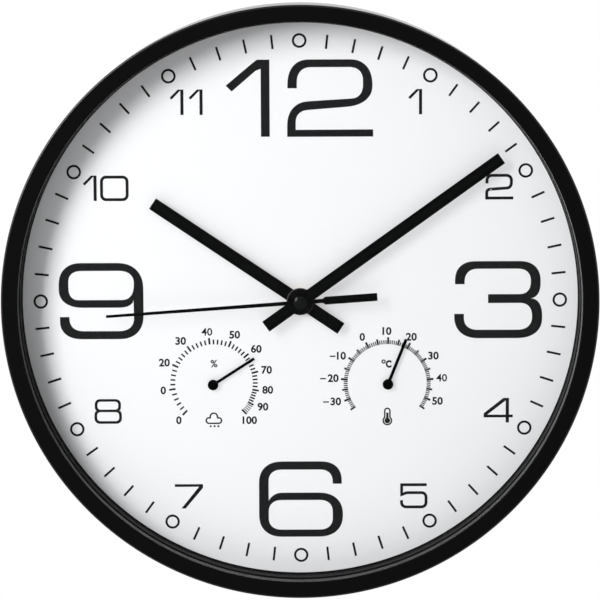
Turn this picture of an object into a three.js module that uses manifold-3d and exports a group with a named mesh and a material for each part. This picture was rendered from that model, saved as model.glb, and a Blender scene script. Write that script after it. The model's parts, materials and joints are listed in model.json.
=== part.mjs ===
// Weather station clock: a round quartz wall clock with a hygrometer and a thermometer on its dial.
// Millimetres, +Z up. The dial faces -Y and the wall is the plane y = 0.
// The origin is the point where the wall hook bears in the hanger's slot.
// A "depth" is a distance in front of the wall, so depth d lies at y = -d.
// Angles of hands and pointers are in degrees, clockwise from twelve o'clock as seen from the front.

import * as THREE from 'three';
import { mergeVertices } from 'three/addons/utils/BufferGeometryUtils.js';
import Module from 'manifold-3d';

const wasm = await Module();
wasm.setup();

// Clearances
const seatGap = 0.3;          // between a piece and the piece it rests on
const slipFit = 0.3;          // radial play of a loose cover, disc or screw in its hole
const bearingPlay = 0.15;     // radial play of an arbor in its bearing
const levelGap = 0.8;         // from the front of one wheel to the back of the next
const tubePlay = 0.2;         // radial play between the second arbor, the minute tube and the hour tube
const pivotInset = 0.2;       // from a pivot's end to the far face of its bearing
const arborInset = 0.5;       // from an arbor's end to the front face of the movement
const joinDepth = 0.5;        // how far one shape of a piece runs into the next
const cutPast = 1;            // how far a cutting shape runs past the face it opens

// Case
const frameRadius = 150;
const frameTaper = 0.4;       // how much smaller the frame is at the wall
const frameWall = 4.8;        // beside the glass, the dial and the back plate
const rimWall = 2.4;          // behind them, where the frame stands on the wall
const frameChamfer = 0.6;
const lipWidth = 8.4;         // front face of the frame
const lipDraft = 0.2;
const frontRound = 0.9;       // outer front corner
const lipRound = 0.6;         // inner front corner
const dialDepth = 24;         // front of the dial
const lipAboveDial = 18;      // front face of the frame
const dialThickness = 0.8;
const plateThickness = 2.5;
const glassAboveDial = 10;
const glassThickness = 2;
const spacerInset = 0.5;      // the spacer shows this much inside the lip
const spacerDraft = 0.7;
const dialOverlap = 1;        // the dial goes this far under the spacer
const lugCount = 6;
const lugStart = 30;          // angle of the first lug
const lugReach = 1.8;
const lugWidth = 14;
const lugThickness = 1.4;

// Ribs and screws of the back plate
const ribHeight = 3;
const ribThickness = 1.6;
const ribCount = 12;
const ribStart = 62;          // radius where the straight ribs begin
const ribClearance = 2;       // least distance from the movement's corner to a rib
const ringRibInset = 10;      // from the plate's edge to the round rib
const plateScrewCount = 6;
const plateScrewInset = 2.1;  // from the plate's edge to the screws
const screwShankRadius = 0.85;
const screwHeadRadius = 1.75;
const screwHeadHeight = 1.3;
const screwHeadEdge = 0.6;    // share of the head's height and radius where its dome begins
const screwHeadCrown = 0.1;   // share of the head's height that its dome is flat for
const plateScrewLength = 7;

// Hanger
const hangerInset = 39.9;     // from the plate's edge to the hook
const hangerSheet = 1.2;
const hangerWallGap = 2;      // bridge to wall
const bridgeWidth = 42;
const hangerFoot = 13;
const hangerAboveHook = 6;
const hangerBelowHook = 19;
const slotWidth = 5.6;
const entryRadius = 5.5;
const entryDrop = 12;         // from the hook's seat to the middle of the entry
const padHeight = 6;
const hangerScrewShank = 1.3;
const hangerScrewHead = 2.9;
const hangerScrewLength = 6;

// Movement case
const movementSide = 56;
const movementThickness = 15.8;
const movementWall = 1.5;
const movementFloor = 1.6;
const postRadius = 1.2;
const postInset = 2;
const coverThickness = 1.5;
const cornerRadius = 2.5;
const rubberRadius = 9;
const rubberThickness = 1;
const bayWall = 1.2;

// Shaft
const secondArborRadius = 0.45;
const minuteTubeRadius = 1.1;
const hourTubeRadius = 2.5;
const bushRadius = 4;
const bushWall = 1.2;
const bushFlange = 1.4;
const bushFlangeThickness = 0.8;
const bushProud = 0.1;        // how far the bush stands out of its nut
const bushChamfer = 0.3;
const washerThickness = 0.4;
const washerRadius = 6.1;
const nutAcrossFlats = 11;
const nutThickness = 2;
const hourHandGap = 0.5;      // from the nut to the hour hand
const collarWall = 0.9;
const collarHeight = 0.9;

// Wheels
const wheelThickness = 1;
const pinionReach = 0.3;
const trainStart = 0.9;       // from the rear cover to the first wheel
const handworkModule = 0.5;
const secondModule = 0.35;
const rotorModule = 0.3;
const thirdModule = 0.3;
const smallArborRadius = 0.4;
const minuteStudRadius = 0.9;
const toothDedendum = 1.1;    // modules from the pitch circle to the root of a pinion
const toothAddendum = 0.75;   // modules from the pitch circle to the tip
const toothBase = 0.24;       // half a pinion tooth's width at its root, as a share of the pitch
const toothCrest = 0.1;       // half its width at the tip
const wheelCrest = 0.07;      // half the width of a wheel's tooth at the tip
const wheelGapDeep = 0.5;     // modules that a wheel's pointed gap goes below the root
const fineTeeth = 30;         // from this many teeth, the gaps are pointed
const trainPlateThickness = 1;
const trainPlateClear = 1.2;  // from the second hand's pinion to the train plate
const pivotShare = 0.6;       // share of the rear cover that the rear pivots go into

// Where the arbors stand: directions in degrees, anticlockwise from +X
const intermediateDirection = 188;  // from the middle
const rotorDirection = 150;         // from the intermediate wheel
const thirdDirection = 10;          // from the middle
const minuteDirection = 60;         // from the middle
const knobDirection = 75;           // from the minute wheel

// Step motor
const magnetRadius = 3;
const statorGap = 0.5;
const statorThickness = 1;
const statorBar = 8.2;
const statorArm = 4;
const magnetGap = 0.5;        // from the intermediate wheel's level to the magnet
const coilHalfLength = 7;
const coilWallGap = 0.4;      // from the case's wall to the bobbin
const coreGap = 0.2;          // from the stator to the coil's core
const windingGap = 0.15;      // from the bobbin to the winding
const coilRadius = 2.9;
const coilBore = 1.7;
const coilWall = 0.35;
const bobbinFlange = 0.8;
const bobbinProud = 0.2;      // from the winding's surface to the rim of the bobbin
const coreWidth = 2;
const coreThickness = 1;
const boardThickness = 0.8;
const boardSideGap = 1;
const boardEndGap = 0.6;
const chipRadius = 1.9;
const chipHeight = 0.9;
const crystalRadius = 1;
const crystalLength = 6;

// Set knob
const knobRadius = 6.4;
const knobThickness = 1.8;
const knobArborRadius = 1.2;
const knobRidges = 18;
const ridgeDepth = 0.4;
const ridgeShares = [0.25, 0.12];  // half a ridge's width at its foot and top, as shares of the pitch

// Battery, size AA
const batteryRadius = 7.1;
const batteryLength = 49.2;
const nubRadius = 2.7;
const nubLength = 1.3;
const batteryRound = 0.8;
const contactRoom = 1.25;     // at each end of the battery, for its contact
const contactSheet = 0.4;
const contactWidth = 8;
const leafTipWidth = 2.4;

// Hands, with their angles at ten past ten
const handThickness = 0.6;
const hourHandWidth = 6.2;
const hourHandLength = 89.4;
const hourHandTail = 24.8;
const hourHubRadius = 6.8;
const hourHubRise = 0.3;      // the hub stands above the bar
const hourAngle = 304;
const minuteHandWidth = 6.2;
const minuteHandLength = 124.5;
const minuteHandTail = 21.4;
const minuteAngle = 54.4;
const minuteHandGap = 1.4;    // from the hour hand to the minute hand
const needleWidth = 1.76;      // at the middle
const needleTipWidth = 1.04;
const secondHandLength = 98.2;
const secondHandThickness = 0.4;
const secondHandGap = 1;      // from the minute hand to the second hand
const paddleStart = 11.6;
const paddleEnd = 39;
const paddleWidth = 3.9;
const secondAngle = 266;
const capRadius = 3.4;
const capDome = 1;
const hubInset = 0.45;        // from the cap's edge to the second hand's hub

// Hygrometer and thermometer
const gaugeAcross = 44.4;     // from the middle of the dial
const gaugeBelow = 42.9;
const gaugeRadius = 18;
const gaugeWall = 1.4;
const gaugeDepth = 10;
const gaugeFlange = 1.6;
const gaugeNoseRadius = 2.6;
const gaugeArborRadius = 0.6;
const coilStripThickness = 0.35;
const coilStripWidth = 4;
const coilTurns = 4.5;
const coilInner = 1.2;
const ventCount = 8;
const ventWidth = 2;
const ventStart = 6.3;
const ventEnd = 13.5;
const coilSteps = 12;         // points in each turn of the coil
const pointerAboveDial = 1.3;
const pointerThickness = 0.4;
const pointerLength = 24.9;
const pointerTail = 2.6;
const pointerWidth = 1.1;
const pointerHub = 2.6;
const hygrometerAngle = 57.2;
const thermometerAngle = 21.8;
const hookCount = 3;
const hookWidth = 5;
const hookThickness = 1.5;
const hookBarb = 1;
const hookRoom = 1;           // plain ring of the back plate outside the hooks

// Smoothness: sides of large, middle and small round pieces
const largeSides = 72;
const middleSides = 32;
const plainSides = 24;
const smallSides = 16;
const tinySides = 10;

// Radii and depths that follow
const wallBore = frameRadius - frameWall;
const lipRadius = frameRadius - lipWidth;
const discRadius = wallBore - slipFit;
const spacerRadius = lipRadius - spacerInset;
const dialRadius = spacerRadius - spacerDraft + dialOverlap;
const plateFront = dialDepth - dialThickness - seatGap;
const plateRear = plateFront - plateThickness;
const movementFront = plateRear - rubberThickness - 2 * seatGap;
const movementRear = movementFront - movementThickness;
const coverInside = movementRear + coverThickness;
const floorInside = movementFront - movementFloor;
const half = movementSide / 2;
const inside = half - movementWall;
const bayHalf = (batteryLength + nubLength) / 2 + contactRoom;
const bayOuter = bayHalf + movementWall;
const washerRear = dialDepth + seatGap;
const washerFront = washerRear + washerThickness;
const nutRear = washerFront + seatGap;
const nutFront = nutRear + nutThickness;
const hookHeight = discRadius - hangerInset;
const plateScrewCircle = discRadius - plateScrewInset;
const radians = THREE.MathUtils.degToRad;
const roundMiddle = 1 - Math.SQRT1_2;  // share of its radius that a round corner's middle lies inside

// Helpers

function circle(x, z, radius, sides = smallSides) {
  const points = [];
  for (let i = 0; i < sides; i += 1) {
    const turn = (2 * Math.PI * i) / sides;
    points.push(new THREE.Vector2(x + radius * Math.cos(turn), z + radius * Math.sin(turn)));
  }
  return points;
}

function rectangle(x0, z0, x1, z1) {
  return [[x0, z0], [x1, z0], [x1, z1], [x0, z1]].map(([x, z]) => new THREE.Vector2(x, z));
}

// A rectangle with round corners, its middle at the centre.
function roundedSquare(width, height, radius) {
  const points = [];
  const corners = [[1, 1], [-1, 1], [-1, -1], [1, -1]];
  corners.forEach(([sx, sz], corner) => {
    for (let i = 0; i <= 3; i += 1) {
      const turn = (Math.PI / 2) * (corner + i / 3);
      const x = sx * (width / 2 - radius) + radius * Math.cos(turn);
      const z = sz * (height / 2 - radius) + radius * Math.sin(turn);
      points.push(new THREE.Vector2(x, z));
    }
  });
  return points;
}

// A flat piece that lies parallel to the wall, from depth rear forward.
function plate(outline, holes, rear, thickness) {
  const shape = new THREE.Shape(outline);
  shape.holes = holes.map((points) => new THREE.Path(points));
  const geometry = new THREE.ExtrudeGeometry(shape, { depth: thickness, bevelEnabled: false });
  return geometry.rotateX(Math.PI / 2).translate(0, -rear, 0);
}

// A piece turned about the clock's axis: the profile is a closed list of [radius, depth].
function turned(profile, sides = middleSides) {
  const points = profile.map(([radius, depth]) => new THREE.Vector2(radius, -depth));
  if (THREE.ShapeUtils.isClockWise(points)) points.reverse();
  const start = points.findIndex((point, i) => {
    const before = points[(i + points.length - 1) % points.length];
    return point.x === 0 && before.x === 0;
  });
  const ordered = start < 0
    ? [...points, points[0]]
    : [...points.slice(start), ...points.slice(0, start)];
  return new THREE.LatheGeometry(ordered, sides);
}

function tube(inner, outer, rear, front, sides = middleSides) {
  return turned([[inner, rear], [outer, rear], [outer, front], [inner, front]], sides);
}

function rod(radius, rear, front, sides = smallSides) {
  return turned([[0, rear], [radius, rear], [radius, front], [0, front]], sides);
}

function solid(geometry) {
  const bare = geometry.clone();
  bare.deleteAttribute('normal');
  bare.deleteAttribute('uv');
  const merged = mergeVertices(bare, 1e-4);
  const corners = merged.index.array;
  const triangles = [];
  for (let i = 0; i < corners.length; i += 3) {
    const [a, b, c] = [corners[i], corners[i + 1], corners[i + 2]];
    if (a !== b && b !== c && c !== a) triangles.push(a, b, c);
  }
  return new wasm.Manifold(new wasm.Mesh({
    numProp: 3,
    vertProperties: Float32Array.from(merged.attributes.position.array),
    triVerts: Uint32Array.from(triangles),
  }));
}

function surface(body) {
  const mesh = body.getMesh();
  const geometry = new THREE.BufferGeometry();
  const positions = Float32Array.from(mesh.vertProperties);
  const corners = Uint32Array.from(mesh.triVerts);
  geometry.setAttribute('position', new THREE.BufferAttribute(positions, 3));
  geometry.setIndex(new THREE.BufferAttribute(corners, 1));
  return geometry;
}

function join(...pieces) {
  return surface(pieces.map(solid).reduce((whole, piece) => whole.add(piece)));
}

function cut(piece, ...tools) {
  return surface(tools.map(solid).reduce((whole, tool) => whole.subtract(tool), solid(piece)));
}

// A point at a clockwise angle and a radius, seen from the front.
function around(degrees, radius) {
  return [radius * Math.sin(radians(degrees)), radius * Math.cos(radians(degrees))];
}

function spread(count, offset = 0) {
  return Array.from({ length: count }, (_, i) => offset + (360 * i) / count);
}

// Gears: the phase is the angle of one tooth, anticlockwise from the +X axis.
// Pinions have flat-bottomed gaps and wheels have pointed ones.
function gearOutline([x, z], teeth, module, phase) {
  const pitch = (teeth * module) / 2;
  const step = (2 * Math.PI) / teeth;
  const root = pitch - toothDedendum * module;
  const tip = pitch + toothAddendum * module;
  const points = [];
  for (let i = 0; i < teeth; i += 1) {
    const middle = phase + i * step;
    const corners = teeth < fineTeeth
      ? [[root, -toothBase], [tip, -toothCrest], [tip, toothCrest], [root, toothBase]]
      : [[root - wheelGapDeep * module, -0.5], [tip, -wheelCrest], [tip, wheelCrest]];
    corners.forEach(([radius, share]) => {
      const turn = middle + share * step;
      points.push(new THREE.Vector2(x + radius * Math.cos(turn), z + radius * Math.sin(turn)));
    });
  }
  return points;
}

// The phase that lets a second gear's gap face the first gear's tooth.
function matingPhase(first, second) {
  const toward = Math.atan2(second.at[1] - first.at[1], second.at[0] - first.at[0]);
  const along = ((toward - first.phase) * first.teeth) / (2 * Math.PI);
  return toward + Math.PI - ((0.5 - along) * 2 * Math.PI) / second.teeth;
}

const clock = new THREE.Group();
clock.position.z = -hookHeight;

const finishes = {
  blackPlastic: [0x131314, 0.35, 0],
  mattBlack: [0x1b1b1d, 0.6, 0],
  clearGlass: [0xf2f6f7, 0.05, 0],
  printedDial: [0xf6f8f9, 0.6, 0],
  greyPlastic: [0x3a3b3d, 0.55, 0],
  paleNylon: [0xe9e6dc, 0.5, 0],
  brass: [0xb99a55, 0.35, 1],
  steel: [0xb6b9bc, 0.35, 1],
  blackRubber: [0x1a1a1a, 0.9, 0],
  copper: [0xb06a3c, 0.4, 1],
  greenBoard: [0x2f6b42, 0.5, 0],
  magnet: [0x55575a, 0.5, 1],
  batterySleeve: [0x3d6f9e, 0.4, 0],
  blackPaint: [0x1b1d1c, 0.45, 0],
};

function piece(name, geometry, finish, parent = clock) {
  const [color, roughness, metalness] = finishes[finish];
  const material = new THREE.MeshStandardMaterial({ color, roughness, metalness });
  const mesh = new THREE.Mesh(geometry, material);
  mesh.name = name;
  parent.add(mesh);
  return mesh;
}

function groupAt(x, z, parent = clock) {
  const group = new THREE.Group();
  group.position.set(x, 0, z);
  parent.add(group);
  return group;
}

// Frame: a tapered ring with a front lip, and lugs that snap behind the back plate
function arcBlock(middle, innerRadius, outerRadius, width, rear, thickness) {
  const spreadAngle = width / innerRadius / 2;
  const steps = 4;
  const outline = [];
  for (let i = 0; i <= steps; i += 1) {
    const turn = radians(90 - middle) + spreadAngle * (1 - (2 * i) / steps);
    outline.push(new THREE.Vector2(outerRadius * Math.cos(turn), outerRadius * Math.sin(turn)));
  }
  for (let i = steps; i >= 0; i -= 1) {
    const turn = radians(90 - middle) + spreadAngle * (1 - (2 * i) / steps);
    outline.push(new THREE.Vector2(innerRadius * Math.cos(turn), innerRadius * Math.sin(turn)));
  }
  return plate(outline, [], rear, thickness);
}

const lipSeat = dialDepth + glassAboveDial + glassThickness + seatGap;
const lipFront = dialDepth + lipAboveDial;
const rimBore = frameRadius - frameTaper - rimWall;
const boreRear = plateRear - seatGap - 2 * lugThickness;
const frameProfile = [
  [rimBore, 0],
  [frameRadius - frameTaper - frameChamfer, 0],
  [frameRadius - frameTaper, frameChamfer],
  [frameRadius, lipFront - frontRound],
  [frameRadius - roundMiddle * frontRound, lipFront - roundMiddle * frontRound],
  [frameRadius - frontRound, lipFront],
  [lipRadius + lipRound, lipFront],
  [lipRadius, lipFront - lipRound],
  [lipRadius - lipDraft, lipSeat],
  [wallBore, lipSeat],
  [wallBore, boreRear],
  [rimBore, boreRear - (rimBore - wallBore)],
];
const lugs = spread(lugCount, lugStart).map((angle) => arcBlock(
  angle,
  wallBore - lugReach,
  wallBore + frameWall / 2,
  lugWidth,
  plateRear - seatGap - lugThickness,
  lugThickness,
));
piece('frame_ring', join(turned(frameProfile, largeSides), ...lugs), 'blackPlastic');

// Glass
const glassRear = dialDepth + glassAboveDial;
const glassOutline = circle(0, 0, discRadius, largeSides);
piece('glass_lens', plate(glassOutline, [], glassRear, glassThickness), 'clearGlass');

// Spacer between the dial and the glass, which the back plate is screwed to
function at(geometry, x, z) {
  return geometry.translate(x, 0, z);
}

const spacerFront = glassRear - seatGap;
const plateScrewAngles = spread(plateScrewCount);
const pilotEnd = plateRear + plateScrewLength + seatGap;
const pilotHoles = plateScrewAngles.map((angle) => {
  const [x, z] = around(angle, plateScrewCircle);
  return at(rod(screwShankRadius + bearingPlay, plateFront, pilotEnd, tinySides), x, z);
});
const spacerProfile = [
  [spacerRadius - spacerDraft, dialDepth + seatGap],
  [dialRadius + bearingPlay, dialDepth + seatGap],
  [dialRadius + bearingPlay, plateFront + seatGap],
  [discRadius, plateFront + seatGap],
  [discRadius, spacerFront],
  [spacerRadius, spacerFront],
];
piece('spacer_ring', cut(turned(spacerProfile, largeSides), ...pilotHoles), 'mattBlack');

// Dial
const gaugePlaces = { hygrometer: [-gaugeAcross, -gaugeBelow], thermometer: [gaugeAcross, -gaugeBelow] };
const places = Object.values(gaugePlaces);
const dialHoles = [
  circle(0, 0, bushRadius + slipFit, middleSides),
  ...places.map(([x, z]) => circle(x, z, gaugeArborRadius + 2 * slipFit)),
];
const dialOutline = circle(0, 0, dialRadius, largeSides);
piece('dial_plate', plate(dialOutline, dialHoles, dialDepth - dialThickness, dialThickness), 'printedDial');

// Back plate: a ribbed disc with pads for the hanger and hooks for the two gauges
const padMiddle = bridgeWidth / 2 + hangerFoot / 2;
const hangerMiddle = hookHeight + (hangerAboveHook - hangerBelowHook) / 2;
const ringRibRadius = discRadius - ringRibInset;
const movementClear = Math.hypot(Math.max(half, bayOuter), half);

function straightRib(angle) {
  const start = Math.max(ribStart, movementClear + ribClearance);
  const outline = rectangle(-ribThickness / 2, start, ribThickness / 2, ringRibRadius);
  return plate(outline, [], plateRear - ribHeight, ribHeight + plateThickness / 2).rotateY(radians(angle));
}

function hangerPad(side) {
  const x = side * padMiddle;
  const height = hangerAboveHook + hangerBelowHook;
  const outline = rectangle(
    x - hangerFoot / 2,
    hangerMiddle - height / 2,
    x + hangerFoot / 2,
    hangerMiddle + height / 2,
  );
  return plate(outline, [], plateRear - padHeight, padHeight + plateThickness / 2);
}

const flangeRadius = gaugeRadius + gaugeFlange;
const flangeRear = plateRear - seatGap - gaugeWall;

function gaugeHook(x, z, angle) {
  const inner = flangeRadius + slipFit;
  const barbRear = flangeRear - seatGap - hookThickness;
  const post = rectangle(-hookWidth / 2, inner, hookWidth / 2, inner + hookThickness);
  const barb = rectangle(-hookWidth / 2, inner - hookBarb, hookWidth / 2, inner + hookThickness);
  const hook = join(
    plate(post, [], barbRear, plateRear + plateThickness / 2 - barbRear),
    plate(barb, [], barbRear, hookThickness),
  );
  return at(hook.rotateY(radians(angle)), x, z);
}

const padRear = plateRear - padHeight;
const hangerScrewHoles = [-1, 1].map((side) => at(
  rod(hangerScrewShank + bearingPlay, padRear - cutPast, padRear + hangerScrewLength, tinySides),
  side * padMiddle,
  hangerMiddle,
));
const plateScrewHoles = plateScrewAngles.map((angle) => {
  const [x, z] = around(angle, plateScrewCircle);
  return circle(x, z, screwShankRadius + slipFit, tinySides);
});
const plateHoles = [
  circle(0, 0, bushRadius + slipFit, middleSides),
  ...plateScrewHoles,
];
const ribAngles = spread(ribCount, 180 / ribCount);
const ringRib = tube(
  ringRibRadius - ribThickness / 2,
  ringRibRadius + ribThickness / 2,
  plateRear - ribHeight,
  plateFront - plateThickness / 2,
  largeSides,
);
const plateBody = join(
  plate(circle(0, 0, discRadius, largeSides), plateHoles, plateRear, plateThickness),
  ringRib,
  ...ribAngles.map(straightRib),
  hangerPad(-1),
  hangerPad(1),
);
const gaugeRoom = places.map(([x, z]) => at(
  rod(flangeRadius + hookThickness + hookRoom, plateRear - ribHeight - cutPast, plateRear, middleSides),
  x,
  z,
));
const noseHoles = places.map(([x, z]) => at(
  rod(gaugeNoseRadius + slipFit, plateRear - cutPast, plateFront + cutPast),
  x,
  z,
));
const gaugeHooks = places.flatMap(([x, z]) => spread(hookCount).map((angle) => gaugeHook(x, z, angle)));
const openPlate = cut(plateBody, ...gaugeRoom, ...noseHoles, ...hangerScrewHoles);
piece('back_plate', join(openPlate, ...gaugeHooks), 'greyPlastic');

// Screws: a domed pan head on a plain shank, pointing forward
function screw(shankRadius, headRadius, headRear, headHeight, length) {
  return turned([
    [0, headRear],
    [headRadius * screwHeadEdge, headRear + headHeight * screwHeadCrown],
    [headRadius, headRear + headHeight * screwHeadEdge],
    [headRadius, headRear + headHeight],
    [shankRadius, headRear + headHeight],
    [shankRadius, headRear + headHeight + length - shankRadius],
    [0, headRear + headHeight + length],
  ], tinySides);
}

plateScrewAngles.forEach((angle, i) => {
  const head = plateRear - seatGap - screwHeadHeight;
  const geometry = screw(screwShankRadius, screwHeadRadius, head, screwHeadHeight, plateScrewLength);
  piece(`back_plate_screw_${i + 1}`, geometry, 'steel', groupAt(...around(angle, plateScrewCircle)));
});

// Hanger: a pressed steel bridge with a keyhole
const footFront = padRear - seatGap;
const footRear = footFront - hangerSheet;
const bridgeFront = hangerWallGap + hangerSheet;

function hangerBridge() {
  const edge = bridgeWidth / 2;
  const foot = edge + hangerFoot;
  const rightSide = [
    [edge, hangerWallGap],
    [edge, footRear],
    [foot, footRear],
    [foot, footFront],
    [edge - hangerSheet, footFront],
    [edge - hangerSheet, bridgeFront],
  ];
  const leftSide = rightSide.map(([x, depth]) => [-x, depth]).reverse();
  const outline = [...rightSide, ...leftSide].map(([x, depth]) => new THREE.Vector2(x, -depth));
  const height = hangerAboveHook + hangerBelowHook;
  const strip = new THREE.ExtrudeGeometry(new THREE.Shape(outline), { depth: height, bevelEnabled: false });
  return strip.translate(0, 0, hookHeight - hangerBelowHook);
}

function keyhole() {
  const rear = hangerWallGap - cutPast;
  const through = hangerSheet + 2 * cutPast;
  const seat = hookHeight - slotWidth / 2;
  const entry = hookHeight - entryDrop;
  const round = plate(circle(0, seat, slotWidth / 2, plainSides), [], rear, through);
  const slot = plate(rectangle(-slotWidth / 2, entry, slotWidth / 2, seat), [], rear, through);
  const hole = plate(circle(0, entry, entryRadius, plainSides), [], rear, through);
  return [round, slot, hole];
}

const footHoles = [-1, 1].map((side) => at(
  rod(hangerScrewShank + slipFit, footRear - cutPast, footFront + cutPast, tinySides),
  side * padMiddle,
  hangerMiddle,
));
piece('hanger_bracket', cut(hangerBridge(), ...keyhole(), ...footHoles), 'steel');

[-1, 1].forEach((side, i) => {
  const head = footRear - seatGap - screwHeadHeight;
  const geometry = screw(hangerScrewShank, hangerScrewHead, head, screwHeadHeight, hangerScrewLength);
  piece(`hanger_screw_${i + 1}`, geometry, 'steel', groupAt(side * padMiddle, hangerMiddle));
});

// Train: where each arbor stands and how its wheels mesh
const levelCount = 6;
const levels = Array.from(
  { length: levelCount },
  (_, i) => coverInside + trainStart + i * (wheelThickness + levelGap),
);
const centre = [0, 0];

function placed([x, z], degrees, distance) {
  const turn = radians(degrees);
  return [x + distance * Math.cos(turn), z + distance * Math.sin(turn)];
}

function meshDistance(module, teethA, teethB) {
  return (module * (teethA + teethB)) / 2;
}

const teeth = {
  rotor: 8,
  intermediate: 48,
  intermediatePinion: 8,
  second: 40,
  secondPinion: 8,
  third: 64,
  thirdPinion: 8,
  centre: 60,
  cannon: 10,
  minute: 30,
  minutePinion: 8,
  hour: 32,
  knob: 10,
};
const thirdDistance = meshDistance(thirdModule, teeth.secondPinion, teeth.third);
const centreModule = (2 * thirdDistance) / (teeth.thirdPinion + teeth.centre);
const intermediateDistance = meshDistance(secondModule, teeth.intermediatePinion, teeth.second);
const rotorDistance = meshDistance(rotorModule, teeth.rotor, teeth.intermediate);
const minuteDistance = meshDistance(handworkModule, teeth.cannon, teeth.minute);
const knobDistance = meshDistance(handworkModule, teeth.knob, teeth.minute);
const intermediateAt = placed(centre, intermediateDirection, intermediateDistance);
const rotorAt = placed(intermediateAt, rotorDirection, rotorDistance);
const thirdAt = placed(centre, thirdDirection, thirdDistance);
const minuteAt = placed(centre, minuteDirection, minuteDistance);
const knobAt = placed(minuteAt, knobDirection, knobDistance);

function gear(place, count, module, mate) {
  const made = { at: place, teeth: count, module, phase: 0 };
  if (mate) made.phase = matingPhase(mate, made);
  return made;
}

const intermediateGear = gear(intermediateAt, teeth.intermediate, rotorModule);
const rotorPinion = gear(rotorAt, teeth.rotor, rotorModule, intermediateGear);
const secondGear = gear(centre, teeth.second, secondModule);
const intermediatePinion = gear(intermediateAt, teeth.intermediatePinion, secondModule, secondGear);
const thirdGear = gear(thirdAt, teeth.third, thirdModule);
const secondPinion = gear(centre, teeth.secondPinion, thirdModule, thirdGear);
const centreGear = gear(centre, teeth.centre, centreModule);
const thirdPinion = gear(thirdAt, teeth.thirdPinion, centreModule, centreGear);
const minuteGear = gear(minuteAt, teeth.minute, handworkModule);
const cannonPinion = gear(centre, teeth.cannon, handworkModule, minuteGear);
const knobPinion = gear(knobAt, teeth.knob, handworkModule, minuteGear);
const hourGear = gear(centre, teeth.hour, handworkModule);
const minutePinion = gear(minuteAt, teeth.minutePinion, handworkModule, hourGear);

// A toothed disc in its own frame, with an optional bore.
function toothed(wheel, rear, thickness, bore) {
  const holes = bore ? [circle(0, 0, bore)] : [];
  return plate(gearOutline([0, 0], wheel.teeth, wheel.module, wheel.phase), holes, rear, thickness);
}

// Pinions start inside their wheel, so that the join has no shared face.
const pinionRear = (level) => levels[level - 1] + wheelThickness / 2;
const pinionFront = (level) => levels[level] + wheelThickness + pinionReach;

const arborRear = coverInside - coverThickness * pivotShare;
const trainPlateRear = levels[2] + seatGap;
const trainPlateFront = trainPlateRear + trainPlateThickness;

// A wheel, with its pinion one level in front of it, on one arbor.
function arborWheel(name, level, wheel, pinion, arborFront) {
  const next = level + 1;
  const geometry = join(
    toothed(wheel, levels[level], wheelThickness),
    toothed(pinion, pinionRear(next), pinionFront(next) - pinionRear(next)),
    rod(smallArborRadius, arborRear, arborFront),
  );
  return piece(name, geometry, 'paleNylon', groupAt(...wheel.at));
}

arborWheel('intermediate_wheel', 0, intermediateGear, intermediatePinion, trainPlateFront - pivotInset);
arborWheel('third_wheel', 2, thirdGear, thirdPinion, movementFront - arborInset);

// Second wheel, whose arbor carries the second hand through the tubes
const hourHandRear = nutFront + hourHandGap;
const hourHandFront = hourHandRear + handThickness;
const minuteHandRear = hourHandFront + minuteHandGap;
const minuteHandFront = minuteHandRear + handThickness;
const secondHandRear = minuteHandFront + secondHandGap;
const secondHandFront = secondHandRear + secondHandThickness;
const secondWheel = join(
  toothed(secondGear, levels[1], wheelThickness),
  toothed(secondPinion, pinionRear(2), pinionFront(2) - pinionRear(2)),
  rod(secondArborRadius, arborRear, secondHandFront + seatGap),
);
piece('second_wheel', secondWheel, 'paleNylon');

// Centre wheel, loose on the minute tube; the tube carries the minute hand
const minuteTubeBore = secondArborRadius + tubePlay;
const minuteTubeRear = levels[3] - seatGap / 2;
const centreBore = minuteTubeRadius + bearingPlay;
piece('centre_wheel', toothed(centreGear, levels[3], wheelThickness, centreBore), 'paleNylon');
const cannonTeeth = plate(
  gearOutline([0, 0], cannonPinion.teeth, cannonPinion.module, cannonPinion.phase),
  [circle(0, 0, (minuteTubeRadius + minuteTubeBore) / 2)],
  levels[4] - pinionReach,
  wheelThickness + 2 * pinionReach,
);
const minuteTube = tube(
  minuteTubeBore,
  minuteTubeRadius,
  minuteTubeRear,
  minuteHandFront + seatGap,
  smallSides,
);
piece('cannon_pinion', join(minuteTube, cannonTeeth), 'brass');

// Minute wheel, on a stud of the movement case
const studBore = minuteStudRadius + bearingPlay;
const minuteWheel = join(
  toothed(minuteGear, levels[4], wheelThickness, studBore),
  toothed(minutePinion, pinionRear(5), pinionFront(5) - pinionRear(5), studBore),
);
piece('minute_wheel', minuteWheel, 'paleNylon', groupAt(...minuteAt));

// Hour wheel and its tube
const hourTubeBore = minuteTubeRadius + tubePlay;
const hourWheel = join(
  toothed(hourGear, levels[5], wheelThickness, (hourTubeRadius + hourTubeBore) / 2),
  tube(hourTubeBore, hourTubeRadius, levels[5], hourHandFront + seatGap, plainSides),
);
piece('hour_wheel', hourWheel, 'paleNylon');

// Rotor: a magnet between its pinion and its pivots
const magnetRear = levels[0] + wheelThickness + magnetGap;
const magnetFront = trainPlateRear - seatGap;
const rotorPinionRear = levels[0] - pinionReach;
const rotor = join(
  toothed(rotorPinion, rotorPinionRear, magnetRear + joinDepth - rotorPinionRear),
  rod(magnetRadius, magnetRear, magnetFront, plainSides),
  rod(smallArborRadius, arborRear, trainPlateFront - pivotInset),
);
piece('rotor', rotor, 'magnet', groupAt(...rotorAt));

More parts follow.
